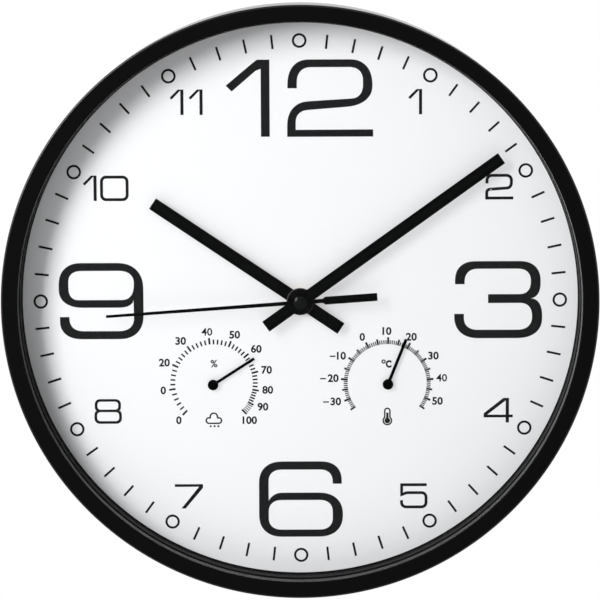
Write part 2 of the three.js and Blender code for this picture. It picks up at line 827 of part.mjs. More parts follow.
// Stator: a C-shaped iron plate round the rotor, whose arms meet the coil's core
const bobbinRadius = coilRadius + bobbinProud;
const coilAcross = -inside + coilWallGap + bobbinRadius;
const statorRear = levels[1];
const statorFront = statorRear + statorThickness;
const armReach = coilAcross - coreWidth;
const barRight = rotorAt[0] + statorBar / 2;
const barLeft = rotorAt[0] - statorBar / 2;
const coilBottom = rotorAt[1] - coilHalfLength;
const coilTop = rotorAt[1] + coilHalfLength;
const statorBottom = coilBottom - statorArm;
const statorTop = coilTop + statorArm;
const statorOutline = [
  [armReach, statorTop],
  [barRight, statorTop],
  [barRight, statorBottom],
  [armReach, statorBottom],
  [armReach, coilBottom],
  [barLeft, coilBottom],
  [barLeft, coilTop],
  [armReach, coilTop],
].map(([x, z]) => new THREE.Vector2(x, z)).reverse();
const rotorHole = circle(...rotorAt, magnetRadius + statorGap, plainSides);
piece('stator', plate(statorOutline, [rotorHole], statorRear, statorThickness), 'steel');

// Coil: core, bobbin and winding, standing upright at the left wall
const coreRear = statorFront + coreGap;
const coilDepth = coreRear + coreThickness / 2;
const core = plate(
  rectangle(coilAcross - coreWidth / 2, statorBottom, coilAcross + coreWidth / 2, statorTop),
  [],
  coreRear,
  coreThickness,
);
piece('coil_core', core, 'steel');

function uprightTurned(profile) {
  const points = profile.map(([radius, z]) => new THREE.Vector2(radius, z));
  if (THREE.ShapeUtils.isClockWise(points)) points.reverse();
  const geometry = new THREE.LatheGeometry([...points, points[0]], smallSides);
  return geometry.rotateX(Math.PI / 2).translate(coilAcross, -coilDepth, 0);
}

const spoolBottom = coilBottom + seatGap;
const spoolTop = coilTop - seatGap;
piece('coil_bobbin', uprightTurned([
  [coilBore - coilWall, spoolBottom],
  [bobbinRadius, spoolBottom],
  [bobbinRadius, spoolBottom + bobbinFlange],
  [coilBore, spoolBottom + bobbinFlange],
  [coilBore, spoolTop - bobbinFlange],
  [bobbinRadius, spoolTop - bobbinFlange],
  [bobbinRadius, spoolTop],
  [coilBore - coilWall, spoolTop],
]), 'paleNylon');
const windingBottom = spoolBottom + bobbinFlange + windingGap;
const windingTop = spoolTop - bobbinFlange - windingGap;
piece('coil_winding', uprightTurned([
  [coilBore + windingGap, windingBottom],
  [coilRadius, windingBottom],
  [coilRadius, windingTop],
  [coilBore + windingGap, windingTop],
]), 'copper');

// Train plate: front pivots of the rotor and the intermediate wheel
const bayTop = -inside + 2 * (batteryRadius + slipFit) + slipFit;
const dividerTop = bayTop + bayWall;
const trainBottom = dividerTop + seatGap;
const plateLeft = coilAcross + bobbinRadius + seatGap;
const plateRight = (-secondPinion.module * secondPinion.teeth) / 2 - trainPlateClear;
const plateShoulder = statorTop + seatGap;
const plateTop = inside - seatGap;
const trainPlateOutline = [
  [plateLeft, trainBottom],
  [plateRight, trainBottom],
  [plateRight, plateTop],
  [-inside + seatGap, plateTop],
  [-inside + seatGap, plateShoulder],
  [plateLeft, plateShoulder],
].map(([x, z]) => new THREE.Vector2(x, z));
const pivotBore = smallArborRadius + bearingPlay;
piece('train_plate', plate(
  trainPlateOutline,
  [circle(...rotorAt, pivotBore, tinySides), circle(...intermediateAt, pivotBore, tinySides)],
  trainPlateRear,
  trainPlateThickness,
), 'mattBlack');

// Circuit board with its chip, and the quartz crystal
const boardRear = trainPlateRear - seatGap - boardThickness;
const boardLeft = -inside + boardSideGap;
const boardRight = plateRight - boardSideGap;
const boardBottom = plateShoulder + boardEndGap;
const boardTop = plateTop - boardEndGap;
const boardAcross = (boardLeft + boardRight) / 2;
const boardHeight = (boardBottom + boardTop) / 2;
const partOffset = (boardRight - boardLeft) / 4;
const boardSheet = plate(
  rectangle(boardLeft, boardBottom, boardRight, boardTop),
  [],
  boardRear,
  boardThickness,
);
const chipFoot = boardRear + boardThickness / 2;
const chip = turned([
  [0, boardRear - chipHeight],
  [(2 / 3) * chipRadius, boardRear - 0.75 * chipHeight],
  [chipRadius, chipFoot],
  [0, chipFoot],
], smallSides);
piece('circuit_board', join(boardSheet, at(chip, boardAcross - partOffset, boardHeight)), 'greenBoard');
const crystal = new THREE.CylinderGeometry(crystalRadius, crystalRadius, crystalLength, smallSides);
const crystalDepth = boardRear - seatGap - crystalRadius;
crystal.rotateZ(Math.PI / 2).translate(boardAcross + partOffset, -crystalDepth, boardHeight);
piece('quartz_crystal', crystal, 'steel');

// Movement case: a square tray over the train, and a bay as long as the battery needs
const caseHoles = [
  rod(bushRadius + bearingPlay, floorInside - cutPast, movementFront + cutPast, middleSides),
  at(rod(pivotBore, floorInside - cutPast, movementFront + cutPast, tinySides), ...thirdAt),
  at(rod(knobArborRadius + bearingPlay, floorInside - cutPast, movementFront + cutPast), ...knobAt),
];
const trayRear = coverInside + seatGap;
const trayBlock = plate(
  roundedSquare(movementSide, movementSide, cornerRadius),
  [],
  trayRear,
  movementFront - trayRear,
);
const bayBlock = cut(
  plate(roundedSquare(2 * bayOuter, movementSide, cornerRadius), [], movementRear, movementThickness),
  plate(
    rectangle(-bayOuter - cutPast, dividerTop, bayOuter + cutPast, half + cutPast),
    [],
    movementRear - cutPast,
    movementThickness + 2 * cutPast,
  ),
);
const roomRear = movementRear - cutPast;
const roomHeight = floorInside - roomRear;
const trainRoom = plate(rectangle(-inside, dividerTop, inside, inside), [], roomRear, roomHeight);
const bayRoom = plate(rectangle(-bayHalf, -inside, bayHalf, bayTop), [], roomRear, roomHeight);
const caseShell = cut(join(trayBlock, bayBlock), trainRoom, bayRoom, ...caseHoles);
const studRear = levels[4] - seatGap;
const stud = at(rod(minuteStudRadius, studRear, floorInside + movementFloor / 2), ...minuteAt);
const postPlaces = [
  [plateLeft + postInset, trainBottom + postInset],
  [-inside + seatGap + postInset, plateTop - postInset],
  [plateRight - postInset, plateTop - postInset],
];
const posts = postPlaces.map(([x, z]) => at(
  rod(postRadius, trainPlateFront + seatGap, floorInside + movementFloor / 2, tinySides),
  x,
  z,
));
piece('movement_case', join(caseShell, stud, ...posts), 'blackPlastic');

// Rear cover of the movement
const coverHoles = [
  circle(0, 0, secondArborRadius + bearingPlay, tinySides),
  circle(...rotorAt, pivotBore, tinySides),
  circle(...intermediateAt, pivotBore, tinySides),
  circle(...thirdAt, pivotBore, tinySides),
  circle(...knobAt, knobArborRadius + bearingPlay, smallSides),
];
const coverOutline = [
  [-half, trainBottom],
  [half, trainBottom],
  [half, half - cornerRadius],
  [half - cornerRadius, half],
  [-half + cornerRadius, half],
  [-half, half - cornerRadius],
].map(([x, z]) => new THREE.Vector2(x, z));
piece('movement_rear_cover', plate(coverOutline, coverHoles, movementRear, coverThickness), 'blackPlastic');

// Threaded bush, nut and washers that clamp the movement
const bushBore = bushRadius - bushWall;
const bushSeat = floorInside - seatGap;
const bushFront = nutFront + bushProud;
piece('threaded_bush', turned([
  [bushBore, bushSeat - bushFlangeThickness],
  [bushRadius + bushFlange, bushSeat - bushFlangeThickness],
  [bushRadius + bushFlange, bushSeat],
  [bushRadius, bushSeat],
  [bushRadius, bushFront - bushChamfer],
  [bushRadius - bushChamfer, bushFront],
  [bushBore, bushFront],
], plainSides), 'brass');
const rubberRear = movementFront + seatGap;
const rubberFront = rubberRear + rubberThickness;
const rubberWasher = tube(bushRadius + slipFit, rubberRadius, rubberRear, rubberFront, plainSides);
piece('rubber_washer', rubberWasher, 'blackRubber');
const flatWasher = tube(bushRadius + slipFit, washerRadius, washerRear, washerFront, plainSides);
piece('flat_washer', flatWasher, 'brass');
const hexagon = circle(0, 0, nutAcrossFlats / Math.sqrt(3), 6);
const nutBore = circle(0, 0, bushRadius + bearingPlay, middleSides);
piece('hex_nut', plate(hexagon, [nutBore], nutRear, nutThickness), 'brass');

// Set knob, with its arbor and pinion
const knobFront = movementRear - seatGap;
const knobOutline = [];
const [ridgeFoot, ridgeTop] = ridgeShares;
const ridgeCorners = [
  [-ridgeFoot, knobRadius - ridgeDepth],
  [-ridgeTop, knobRadius],
  [ridgeTop, knobRadius],
  [ridgeFoot, knobRadius - ridgeDepth],
];
for (let i = 0; i < knobRidges; i += 1) {
  ridgeCorners.forEach(([share, radius]) => {
    const turn = ((i + share) * 2 * Math.PI) / knobRidges;
    knobOutline.push(new THREE.Vector2(radius * Math.cos(turn), radius * Math.sin(turn)));
  });
}
const knob = join(
  plate(knobOutline, [], knobFront - knobThickness, knobThickness),
  rod(knobArborRadius, knobFront - knobThickness / 2, movementFront - arborInset),
  toothed(knobPinion, levels[4] - pinionReach, wheelThickness + 2 * pinionReach),
);
piece('set_knob', knob, 'mattBlack', groupAt(...knobAt));

// Battery and its contacts
const batteryAcross = -(batteryLength + nubLength) / 2;
const batteryDepth = floorInside - seatGap - batteryRadius;
const batteryHeight = (bayTop - inside) / 2;
const batteryProfile = [
  [0, 0],
  [batteryRadius - batteryRound, 0],
  [batteryRadius, batteryRound],
  [batteryRadius, batteryLength - batteryRound],
  [batteryRadius - batteryRound, batteryLength],
  [nubRadius, batteryLength],
  [nubRadius, batteryLength + nubLength],
  [0, batteryLength + nubLength],
].map(([radius, along]) => new THREE.Vector2(radius, along));
const battery = new THREE.LatheGeometry(batteryProfile, plainSides).rotateZ(-Math.PI / 2);
piece('battery', battery.translate(batteryAcross, -batteryDepth, batteryHeight), 'batterySleeve');

const contactBottom = batteryHeight - contactWidth / 2;
const contactRear = batteryDepth - contactWidth / 2;
const contactTop = contactBottom + contactWidth;
const plusRight = bayHalf - bearingPlay;
const plusOutline = rectangle(plusRight - contactSheet, contactBottom, plusRight, contactTop);
piece('contact_plus', plate(plusOutline, [], contactRear, contactWidth), 'steel');
const minusLeft = -bayHalf + bearingPlay;
const leafTip = batteryAcross - seatGap;
const leafRear = leafTip - contactSheet;
const tipHalf = leafTipWidth / 2;
const rearHalf = tipHalf - contactSheet / 2;
const minusOutline = [
  [minusLeft, contactBottom],
  [minusLeft + contactSheet, contactBottom],
  [leafTip, batteryHeight - tipHalf],
  [leafTip, batteryHeight + tipHalf],
  [minusLeft + contactSheet, contactTop],
  [minusLeft, contactTop],
  [leafRear, batteryHeight + rearHalf],
  [leafRear, batteryHeight - rearHalf],
].map(([x, z]) => new THREE.Vector2(x, z));
piece('contact_minus', plate(minusOutline, [], contactRear, contactWidth), 'steel');

// Hands: flat bars on collars
function bar(width, length, tail) {
  return rectangle(-width / 2, -tail, width / 2, length);
}

const hourBore = hourTubeRadius + bearingPlay;
const hourBar = join(
  plate(bar(hourHandWidth, hourHandLength, hourHandTail), [], hourHandRear, handThickness),
  rod(hourHubRadius, hourHandRear, hourHandFront + hourHubRise, middleSides),
);
const hourHand = cut(hourBar, rod(hourBore, hourHandRear - cutPast, hourHandFront + cutPast, plainSides));
piece('hour_hand', hourHand.rotateY(radians(hourAngle)), 'blackPaint');

const minuteBore = minuteTubeRadius + bearingPlay;
const minuteHand = plate(
  bar(minuteHandWidth, minuteHandLength, minuteHandTail),
  [circle(0, 0, minuteBore)],
  minuteHandRear,
  handThickness,
);
piece('minute_hand', minuteHand.rotateY(radians(minuteAngle)), 'blackPaint');
const minuteCollarFront = minuteHandRear - bearingPlay;
piece('minute_hand_collar', tube(
  minuteBore,
  minuteBore + collarWall,
  minuteCollarFront - collarHeight,
  minuteCollarFront,
  smallSides,
), 'brass');

// The second hand's paddle narrows to the needle with slanted corners, and the needle tapers.
const needle = needleWidth / 2;
const paddle = paddleWidth / 2;
const secondOutline = [
  [-needleTipWidth / 2, secondHandLength],
  [-needle, -paddleStart],
  [-paddle, -paddleStart - (paddle - needle)],
  [-paddle, -paddleEnd],
  [paddle, -paddleEnd],
  [paddle, -paddleStart - (paddle - needle)],
  [needle, -paddleStart],
  [needleTipWidth / 2, secondHandLength],
].map(([x, z]) => new THREE.Vector2(x, z));
const secondBore = secondArborRadius + bearingPlay;
const secondHand = cut(
  join(
    plate(secondOutline, [], secondHandRear, secondHandThickness),
    rod(capRadius - hubInset, secondHandRear, secondHandFront, plainSides),
  ),
  rod(secondBore, secondHandRear - cutPast, secondHandFront + cutPast, tinySides),
);
piece('second_hand', secondHand.rotateY(radians(secondAngle)), 'blackPaint');
const capRear = secondHandFront + bearingPlay;
const capHeight = seatGap + capDome;
const capBoreFront = capRear + 2 * seatGap;
const dome = [0, 30, 60, 90].map((degrees) => [
  capRadius * Math.cos(radians(degrees)),
  capRear + capHeight * Math.sin(radians(degrees)),
]);
dome[dome.length - 1][0] = 0;
piece('second_hand_cap', turned([
  [secondBore, capRear],
  ...dome,
  [0, capBoreFront],
  [secondBore, capBoreFront],
], plainSides), 'blackPlastic');

// Gauges: a cup behind the back plate holds a coil that turns the pointer's arbor
function gaugeHousing() {
  const front = plateRear - seatGap;
  const rear = front - gaugeDepth;
  const bore = gaugeArborRadius + bearingPlay;
  return turned([
    [bore, front - gaugeWall],
    [gaugeRadius - gaugeWall, front - gaugeWall],
    [gaugeRadius - gaugeWall, rear],
    [gaugeRadius, rear],
    [gaugeRadius, front - gaugeWall],
    [flangeRadius, front - gaugeWall],
    [flangeRadius, front],
    [gaugeNoseRadius, front],
    [gaugeNoseRadius, plateFront - seatGap],
    [bore, plateFront - seatGap],
  ], middleSides);
}

function gaugeCap() {
  const front = plateRear - seatGap - gaugeDepth - seatGap;
  const vents = spread(ventCount).map((angle) => {
    const slot = rectangle(-ventWidth / 2, ventStart, ventWidth / 2, ventEnd);
    return slot.map((point) => point.rotateAround(new THREE.Vector2(), radians(angle)));
  });
  return plate(circle(0, 0, gaugeRadius, middleSides), vents, front - gaugeWall, gaugeWall);
}

// A flat spiral strip from the arbor to the wall of the cup
function gaugeCoil() {
  const outerEnd = gaugeRadius - gaugeWall - seatGap - coilStripThickness;
  const steps = Math.round(coilTurns * coilSteps);
  const inner = [];
  const outer = [];
  for (let i = 0; i <= steps; i += 1) {
    const share = i / steps;
    const turn = 2 * Math.PI * coilTurns * share;
    const radius = coilInner + (outerEnd - coilInner) * share;
    inner.push(new THREE.Vector2(radius * Math.cos(turn), radius * Math.sin(turn)));
    const far = radius + coilStripThickness;
    outer.push(new THREE.Vector2(far * Math.cos(turn), far * Math.sin(turn)));
  }
  const rear = plateRear - seatGap - gaugeWall - seatGap - coilStripWidth;
  return plate([...outer, ...inner.reverse()], [], rear, coilStripWidth);
}

function gaugePointer() {
  const rear = dialDepth + pointerAboveDial;
  const outline = rectangle(-pointerWidth / 2, -pointerTail, pointerWidth / 2, pointerLength);
  const blade = plate(outline, [], rear, pointerThickness);
  const hub = rod(pointerHub, rear, rear + 2 * pointerThickness, plainSides);
  const bore = rod(gaugeArborRadius + bearingPlay, rear - cutPast, rear + pointerThickness, tinySides);
  return cut(join(blade, hub), bore);
}

function gaugeArbor() {
  const rear = plateRear - gaugeDepth + seatGap;
  const front = dialDepth + pointerAboveDial + pointerThickness - bearingPlay;
  const collar = rod(coilInner - seatGap, rear + joinDepth, plateRear - 2 * seatGap - gaugeWall);
  return join(rod(gaugeArborRadius, rear, front), collar);
}

const gaugeAngles = { hygrometer: hygrometerAngle, thermometer: thermometerAngle };
const coilFinish = { hygrometer: 'steel', thermometer: 'copper' };
Object.entries(gaugePlaces).forEach(([name, [x, z]]) => {
  const gauge = groupAt(x, z);
  piece(`${name}_housing`, gaugeHousing(), 'mattBlack', gauge);
  piece(`${name}_rear_cap`, gaugeCap(), 'mattBlack', gauge);
  piece(`${name}_coil`, gaugeCoil(), coilFinish[name], gauge);
  piece(`${name}_arbor`, gaugeArbor(), 'brass', gauge);
  piece(`${name}_pointer`, gaugePointer().rotateY(radians(gaugeAngles[name])), 'blackPaint', gauge);
});

export default clock;
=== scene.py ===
"""Weather station clock: the looks of every piece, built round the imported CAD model.

Metres, +Z up, the dial faces -Y. The sizes written here are in millimetres: x to the right and
z up from the middle of the dial, and depth in front of the wall, all as seen from the front.
Angles are in degrees, clockwise from twelve o'clock.
"""

import json
from math import cos, hypot, pi, radians, sin, sqrt

import bmesh
import bpy
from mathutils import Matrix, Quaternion, Vector
from mathutils.geometry import tessellate_polygon

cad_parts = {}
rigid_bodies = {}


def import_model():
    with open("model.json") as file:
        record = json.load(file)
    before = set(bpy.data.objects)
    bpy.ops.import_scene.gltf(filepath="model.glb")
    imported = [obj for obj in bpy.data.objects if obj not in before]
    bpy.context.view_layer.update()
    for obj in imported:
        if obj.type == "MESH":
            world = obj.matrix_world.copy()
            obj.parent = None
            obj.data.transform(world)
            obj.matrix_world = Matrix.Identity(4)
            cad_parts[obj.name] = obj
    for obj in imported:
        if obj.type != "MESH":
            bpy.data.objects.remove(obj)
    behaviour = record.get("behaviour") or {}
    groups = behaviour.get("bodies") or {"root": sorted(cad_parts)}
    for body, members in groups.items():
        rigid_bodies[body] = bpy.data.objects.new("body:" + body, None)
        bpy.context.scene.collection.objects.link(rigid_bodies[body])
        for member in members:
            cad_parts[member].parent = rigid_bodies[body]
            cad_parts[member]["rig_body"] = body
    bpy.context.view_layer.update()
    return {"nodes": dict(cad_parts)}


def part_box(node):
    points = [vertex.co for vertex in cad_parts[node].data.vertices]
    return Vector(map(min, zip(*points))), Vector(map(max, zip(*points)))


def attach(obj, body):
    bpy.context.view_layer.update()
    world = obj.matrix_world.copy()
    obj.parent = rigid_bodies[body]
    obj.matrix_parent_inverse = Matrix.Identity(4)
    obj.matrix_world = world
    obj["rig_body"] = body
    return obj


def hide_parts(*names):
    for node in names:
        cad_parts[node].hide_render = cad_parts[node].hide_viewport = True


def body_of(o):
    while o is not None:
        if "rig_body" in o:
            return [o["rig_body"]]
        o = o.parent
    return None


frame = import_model()
scene = bpy.context.scene

MM = 0.001
MIDDLE = -105  # height of the middle of the dial, from the wall hook
JOINED = 1e-7  # points closer than this, in metres, are one
FLAT = radians(0.5)  # faces that meet at less than this are joined before they are eased
SHARP = radians(34)  # edges that turn by more than this are eased


def place(x, z, depth):
    return Vector((x * MM, -depth * MM, (z + MIDDLE) * MM))


def new_object(name, data):
    made = bpy.data.objects.new(name, data)
    scene.collection.objects.link(made)
    return made


class Seat:
    """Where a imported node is: its middle, its half width and height, its rear and its front."""

    def __init__(self, node):
        low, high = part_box(node)
        self.x = (low.x + high.x) / 2 / MM
        self.z = (low.z + high.z) / 2 / MM - MIDDLE
        self.half_width = (high.x - low.x) / 2 / MM
        self.half_height = (high.z - low.z) / 2 / MM
        self.rear, self.front = -high.y / MM, -low.y / MM


# Outlines: lists of (x, z)

ROUND = 0.55  # handle of a curve that follows a circle
SOFT = 0.62  # handle of the fuller corners of the large numerals


def circle(radius, x=0, z=0, sides=48):
    turns = [2 * pi * i / sides for i in range(sides)]
    return [(x + radius * cos(t), z + radius * sin(t)) for t in turns]


def on_circle(radius, angle, x=0, z=0):
    turn = radians(angle)
    return (x + radius * sin(turn), z + radius * cos(turn))


def arc(radius, start, end, x=0, z=0, steps=12):
    """Points from one clockwise angle to another."""
    angles = [start + (end - start) * i / steps for i in range(steps + 1)]
    return [on_circle(radius, angle, x, z) for angle in angles]


def box(x0, z0, x1, z1):
    return [(x0, z0), (x1, z0), (x1, z1), (x0, z1)]


def turned_by(points, degrees):
    c, s = cos(radians(degrees)), sin(radians(degrees))
    return [(x * c + z * s, z * c - x * s) for x, z in points]


def moved(points, x, z):
    return [(px + x, pz + z) for px, pz in points]


def both_sides(x, z):
    return [(-x, z), (x, z)]


def rounded(corners, handle=ROUND, steps=6, closed=True):
    """An outline from (x, z) for a sharp corner, or (x, z, cut) or (x, z, cut in, cut out)."""
    points = []
    last = len(corners) - 1
    for i, corner in enumerate(corners):
        here = Vector(corner[:2])
        if len(corner) == 2 or (not closed and i in (0, last)):
            points.append(tuple(here))
            continue
        before = Vector(corners[i - 1][:2])
        after = Vector(corners[(i + 1) % len(corners)][:2])
        start = here + (before - here).normalized() * corner[2]
        end = here + (after - here).normalized() * corner[-1]
        first, second = start.lerp(here, handle), end.lerp(here, handle)
        for step in range(steps + 1):
            t = step / steps
            u = 1 - t
            point = start * u**3 + first * 3 * u * u * t + second * 3 * u * t * t + end * t**3
            points.append(tuple(point))
    return points


def turned_ring(bore, radius, rear, front, cuts, steps=6):
    """A profile with a cut for each corner: bore and radius at the rear, then at the front."""
    corners = [(bore, rear), (radius, rear), (radius, front), (bore, front)]
    cut_corners = [(*corner, cut) if cut else corner for corner, cut in zip(corners, cuts)]
    return rounded(cut_corners, steps=steps)


def ribbon(points, width, closed=False):
    """The outlines of a line of that width: one for an open line, two for a closed one."""
    line = [Vector(p) for p in points]
    left, right = [], []
    for i, point in enumerate(line):
        before = line[i - 1] if i or closed else point
        after = line[(i + 1) % len(line)] if closed or i + 1 < len(line) else point
        incoming = (point - before).normalized() if point != before else None
        outgoing = (after - point).normalized() if point != after else incoming
        incoming = incoming or outgoing
        along = (incoming + outgoing).normalized()
        across = Vector((-along.y, along.x))
        reach = width / 2 / max(0.6, along.dot(outgoing))
        left.append(tuple(point + across * reach))
        right.append(tuple(point - across * reach))
    return [left, right] if closed else [left + right[::-1]]


# Blanks: the points and faces of a piece before it gets its name


class Blank:
    """Points as (x, z, depth) and faces. Its sharp edges are eased before it is merged."""

    def __init__(self, eased=0.0):
        self.points, self.faces, self.eased = [], [], eased

    def add(self, points, faces):
        first = len(self.points)
        self.points += points
        self.faces += [[first + i for i in face] for face in faces]
        return self

    def slab(self, loops, rear, front):
        """A flat piece from its outline and the outlines of its holes."""
        flat = [point for loop in loops for point in loop]
        count = len(flat)
        fill = tessellate_polygon([[Vector((x, z, 0)) for x, z in loop] for loop in loops])
        faces = [list(face) for face in fill]
        faces += [[i + count for i in reversed(face)] for face in fill]
        start = 0
        for loop in loops:
            for i in range(len(loop)):
                a, b = start + i, start + (i + 1) % len(loop)
                faces.append([a, b, b + count, a + count])
            start += len(loop)
        points = [(x, z, rear) for x, z in flat] + [(x, z, front) for x, z in flat]
        return self.add(points, faces)

    def lathe(self, profile, x=0, z=0, depth=0, sides=96, axis="depth"):
        """A piece turned from a closed profile of (radius, distance along the axis)."""
        points, rings = [], []
        for radius, along in profile:
            whole = sides if radius > 1e-6 else 1
            rings.append((len(points), whole))
            for i in range(whole):
                turn = 2 * pi * i / sides
                a, b = radius * cos(turn), radius * sin(turn)
                spot = {"depth": (a, b, along), "x": (along, a, b), "z": (a, along, b)}[axis]
                points.append((x + spot[0], z + spot[1], depth + spot[2]))
        faces = []
        for i, (first, whole) in enumerate(rings):
            after, next_whole = rings[(i + 1) % len(rings)]
            if whole == 1 and next_whole == 1:
                continue
            for s in range(sides):
                n = (s + 1) % sides
                low = [first + s, first + n] if whole > 1 else [first]
                high = [after + n, after + s] if next_whole > 1 else [after]
                faces.append(low + high)
        return self.add(points, faces)

    def upright(self):
        """Stands a slab up, so that its outline is in x and depth and it runs along z."""
        self.points = [(x, d, z) for x, z, d in self.points]
        return self


def drum(radius, rear, front, x=0, z=0, sides=48, eased=0.0):
    profile = [(0, rear), (radius, rear), (radius, front), (0, front)]
    return Blank(eased).lathe(profile, x, z, sides=sides)


def clean(mesh, edge):
    """Joins the skin, turns its faces outward and rounds its sharp edges."""
    made = bmesh.new()
    made.from_mesh(mesh)
    bmesh.ops.remove_doubles(made, verts=made.verts, dist=JOINED)
    bmesh.ops.recalc_face_normals(made, faces=made.faces)
    if edge:
        skin = {"verts": made.verts, "edges": made.edges}
        bmesh.ops.dissolve_limit(made, angle_limit=FLAT, delimit={"MATERIAL"}, **skin)
        shared = [e for e in made.edges if len(e.link_faces) == 2]
        rounding = {"offset": edge * MM, "segments": 2, "profile": 0.6, "affect": "EDGES"}
        sharp = [e for e in shared if e.calc_face_angle() > SHARP]
        bmesh.ops.bevel(made, geom=sharp, clamp_overlap=True, **rounding)
        wide = [f for f in made.faces if len(f.verts) > 4]
        bmesh.ops.triangulate(made, faces=wide)
    made.to_mesh(mesh)
    made.free()


def as_mesh(name, blank):
    mesh = bpy.data.meshes.new(name)
    mesh.from_pydata([place(*point) for point in blank.points], [], blank.faces)
    return mesh


def merged(base, adds=(), cuts=()):
    """One skin, from a blank with others joined to it and cut from it."""
    made = []
    for blank in (base, *adds, *cuts):
        mesh = as_mesh("blank", blank)
        clean(mesh, blank.eased)
        made.append(new_object("blank", mesh))
    for i, tool in enumerate(made[1:]):
        modifier = made[0].modifiers.new("merge", "BOOLEAN")
        modifier.operation = "UNION" if i < len(adds) else "DIFFERENCE"
        modifier.solver = "MANIFOLD"
        modifier.object = tool
    bpy.context.view_layer.update()
    whole = made[0].evaluated_get(bpy.context.evaluated_depsgraph_get()).to_mesh()
    result = Blank()
    points = [(v.co.x / MM, v.co.z / MM - MIDDLE, -v.co.y / MM) for v in whole.vertices]
    result.add(points, [list(p.vertices) for p in whole.polygons])
    for thing in made:
        bpy.data.objects.remove(thing)
    return result


def piece(name, blank, finishes, node=None, edge=0.0, smooth=40, mark=None):
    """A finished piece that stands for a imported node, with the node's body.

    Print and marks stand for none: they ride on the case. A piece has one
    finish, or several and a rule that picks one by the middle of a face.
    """
    mesh = blank if isinstance(blank, bpy.types.Mesh) else as_mesh(name, blank)
    mesh.name = name
    clean(mesh, edge)
    mesh.materials.clear()
    for made in finishes if mark else [finishes]:
        mesh.materials.append(made)
    picks = [0] * len(mesh.polygons)
    if mark:
        middles = [face.center / MM for face in mesh.polygons]
        picks = [mark(spot.x, spot.z - MIDDLE, -spot.y) for spot in middles]
    mesh.polygons.foreach_set("material_index", picks)
    mesh.polygons.foreach_set("use_smooth", [True] * len(mesh.polygons))
    mesh.set_sharp_from_angle(angle=radians(smooth))
    made = new_object(name, mesh)
    even = made.modifiers.new("even_normals", "WEIGHTED_NORMAL")
    even.keep_sharp = True
    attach(made, body_of(frame["nodes"][node])[0] if node else "case")
    if node:
        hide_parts(node)


def dressed(name, node, made, edge):
    """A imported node's own shape with its edges eased."""
    piece(name, frame["nodes"][node].data.copy(), made, node, edge=edge)


# Finishes


class Wire:
    """A number that changes over a surface. Sums on it add Math nodes."""

    def __init__(self, shop, socket):
        self.shop, self.socket = shop, socket

    def _sum(self, operation, first, second):
        return self.shop.node("ShaderNodeMath", {0: first, 1: second}, operation=operation)

    def __add__(self, other):
        return self._sum("ADD", self, other)

    def __sub__(self, other):
        return self._sum("SUBTRACT", self, other)

    def __rsub__(self, other):
        return self._sum("SUBTRACT", other, self)

    def __mul__(self, other):
        return self._sum("MULTIPLY", self, other)

    def larger(self, other):
        return self._sum("MAXIMUM", self, other)

    __radd__ = __add__


class Shop:
    """The nodes of one finish, or of the world."""

    def __init__(self, tree):
        self.tree = tree
        tree.nodes.clear()

    def node(self, kind, sockets=None, output=0, **settings):
        made = self.tree.nodes.new(kind)
        for name, value in settings.items():
            if name == "stops":
                ramp = made.color_ramp.elements
                while len(ramp) < len(value):
                    ramp.new(1)
                for stop, (position, level) in zip(ramp, value):
                    stop.position, stop.color = position, (level, level, level, 1)
            else:
                setattr(made, name, value)
        for name, value in (sockets or {}).items():
            if isinstance(value, Wire):
                self.tree.links.new(value.socket, made.inputs[name])
            else:
                made.inputs[name].default_value = value
        return Wire(self, made.outputs[output])

    def spot(self, scale=1):
        """A point on the piece, in metres, stretched by one number or by one for each axis."""
        point = self.node("ShaderNodeTexCoord", output="Object")
        stretch = scale if isinstance(scale, tuple) else (scale,) * 3
        sockets = {0: point, 1: stretch}
        return self.node("ShaderNodeVectorMath", sockets, operation="MULTIPLY")

    def grain(self, scale, detail=2.0):
        """Cloudy noise from 0 to 1, with that many patches to the metre."""
        sockets = {"Vector": self.spot(scale), "Scale": 1.0, "Detail": detail}
        return self.node("ShaderNodeTexNoise", sockets)

    def ramp(self, value, *stops):
        return self.node("ShaderNodeValToRGB", {"Fac": value}, stops=stops)

    def blend(self, share, first, second):
        sockets = {0: share, 6: (*first, 1) if isinstance(first, tuple) else first, 7: (*second, 1)}
        return self.node("ShaderNodeMix", sockets, 2, data_type="RGBA")

    def bump(self, height, depth):
        """Relief of that depth, in millimetres."""
        sockets = {"Height": height, "Strength": 1.0, "Distance": depth * MM}
        return self.node("ShaderNodeBump", sockets)

    def in_sight(self):
        """1 where the camera looks, also by way of gloss or glass, and 0 for light."""
        seen = self.node("ShaderNodeLightPath", output="Is Camera Ray")
        for ray in ("Is Glossy Ray", "Is Transmission Ray"):
            seen = seen.larger(self.node("ShaderNodeLightPath", output=ray))
        return seen

    def surface(self, sockets):
        return self.node("ShaderNodeBsdfPrincipled", sockets)

    def end(self, surface, kind="ShaderNodeOutputMaterial"):
        last = self.tree.nodes.new(kind)
        self.tree.links.new(surface.socket, last.inputs["Surface"])


def shade(colour, share):
    return tuple(min(1.0, level * share) for level in colour)


def new_finish(name):
    made = bpy.data.materials.new(name)
    made.use_nodes = True
    return made, Shop(made.node_tree)


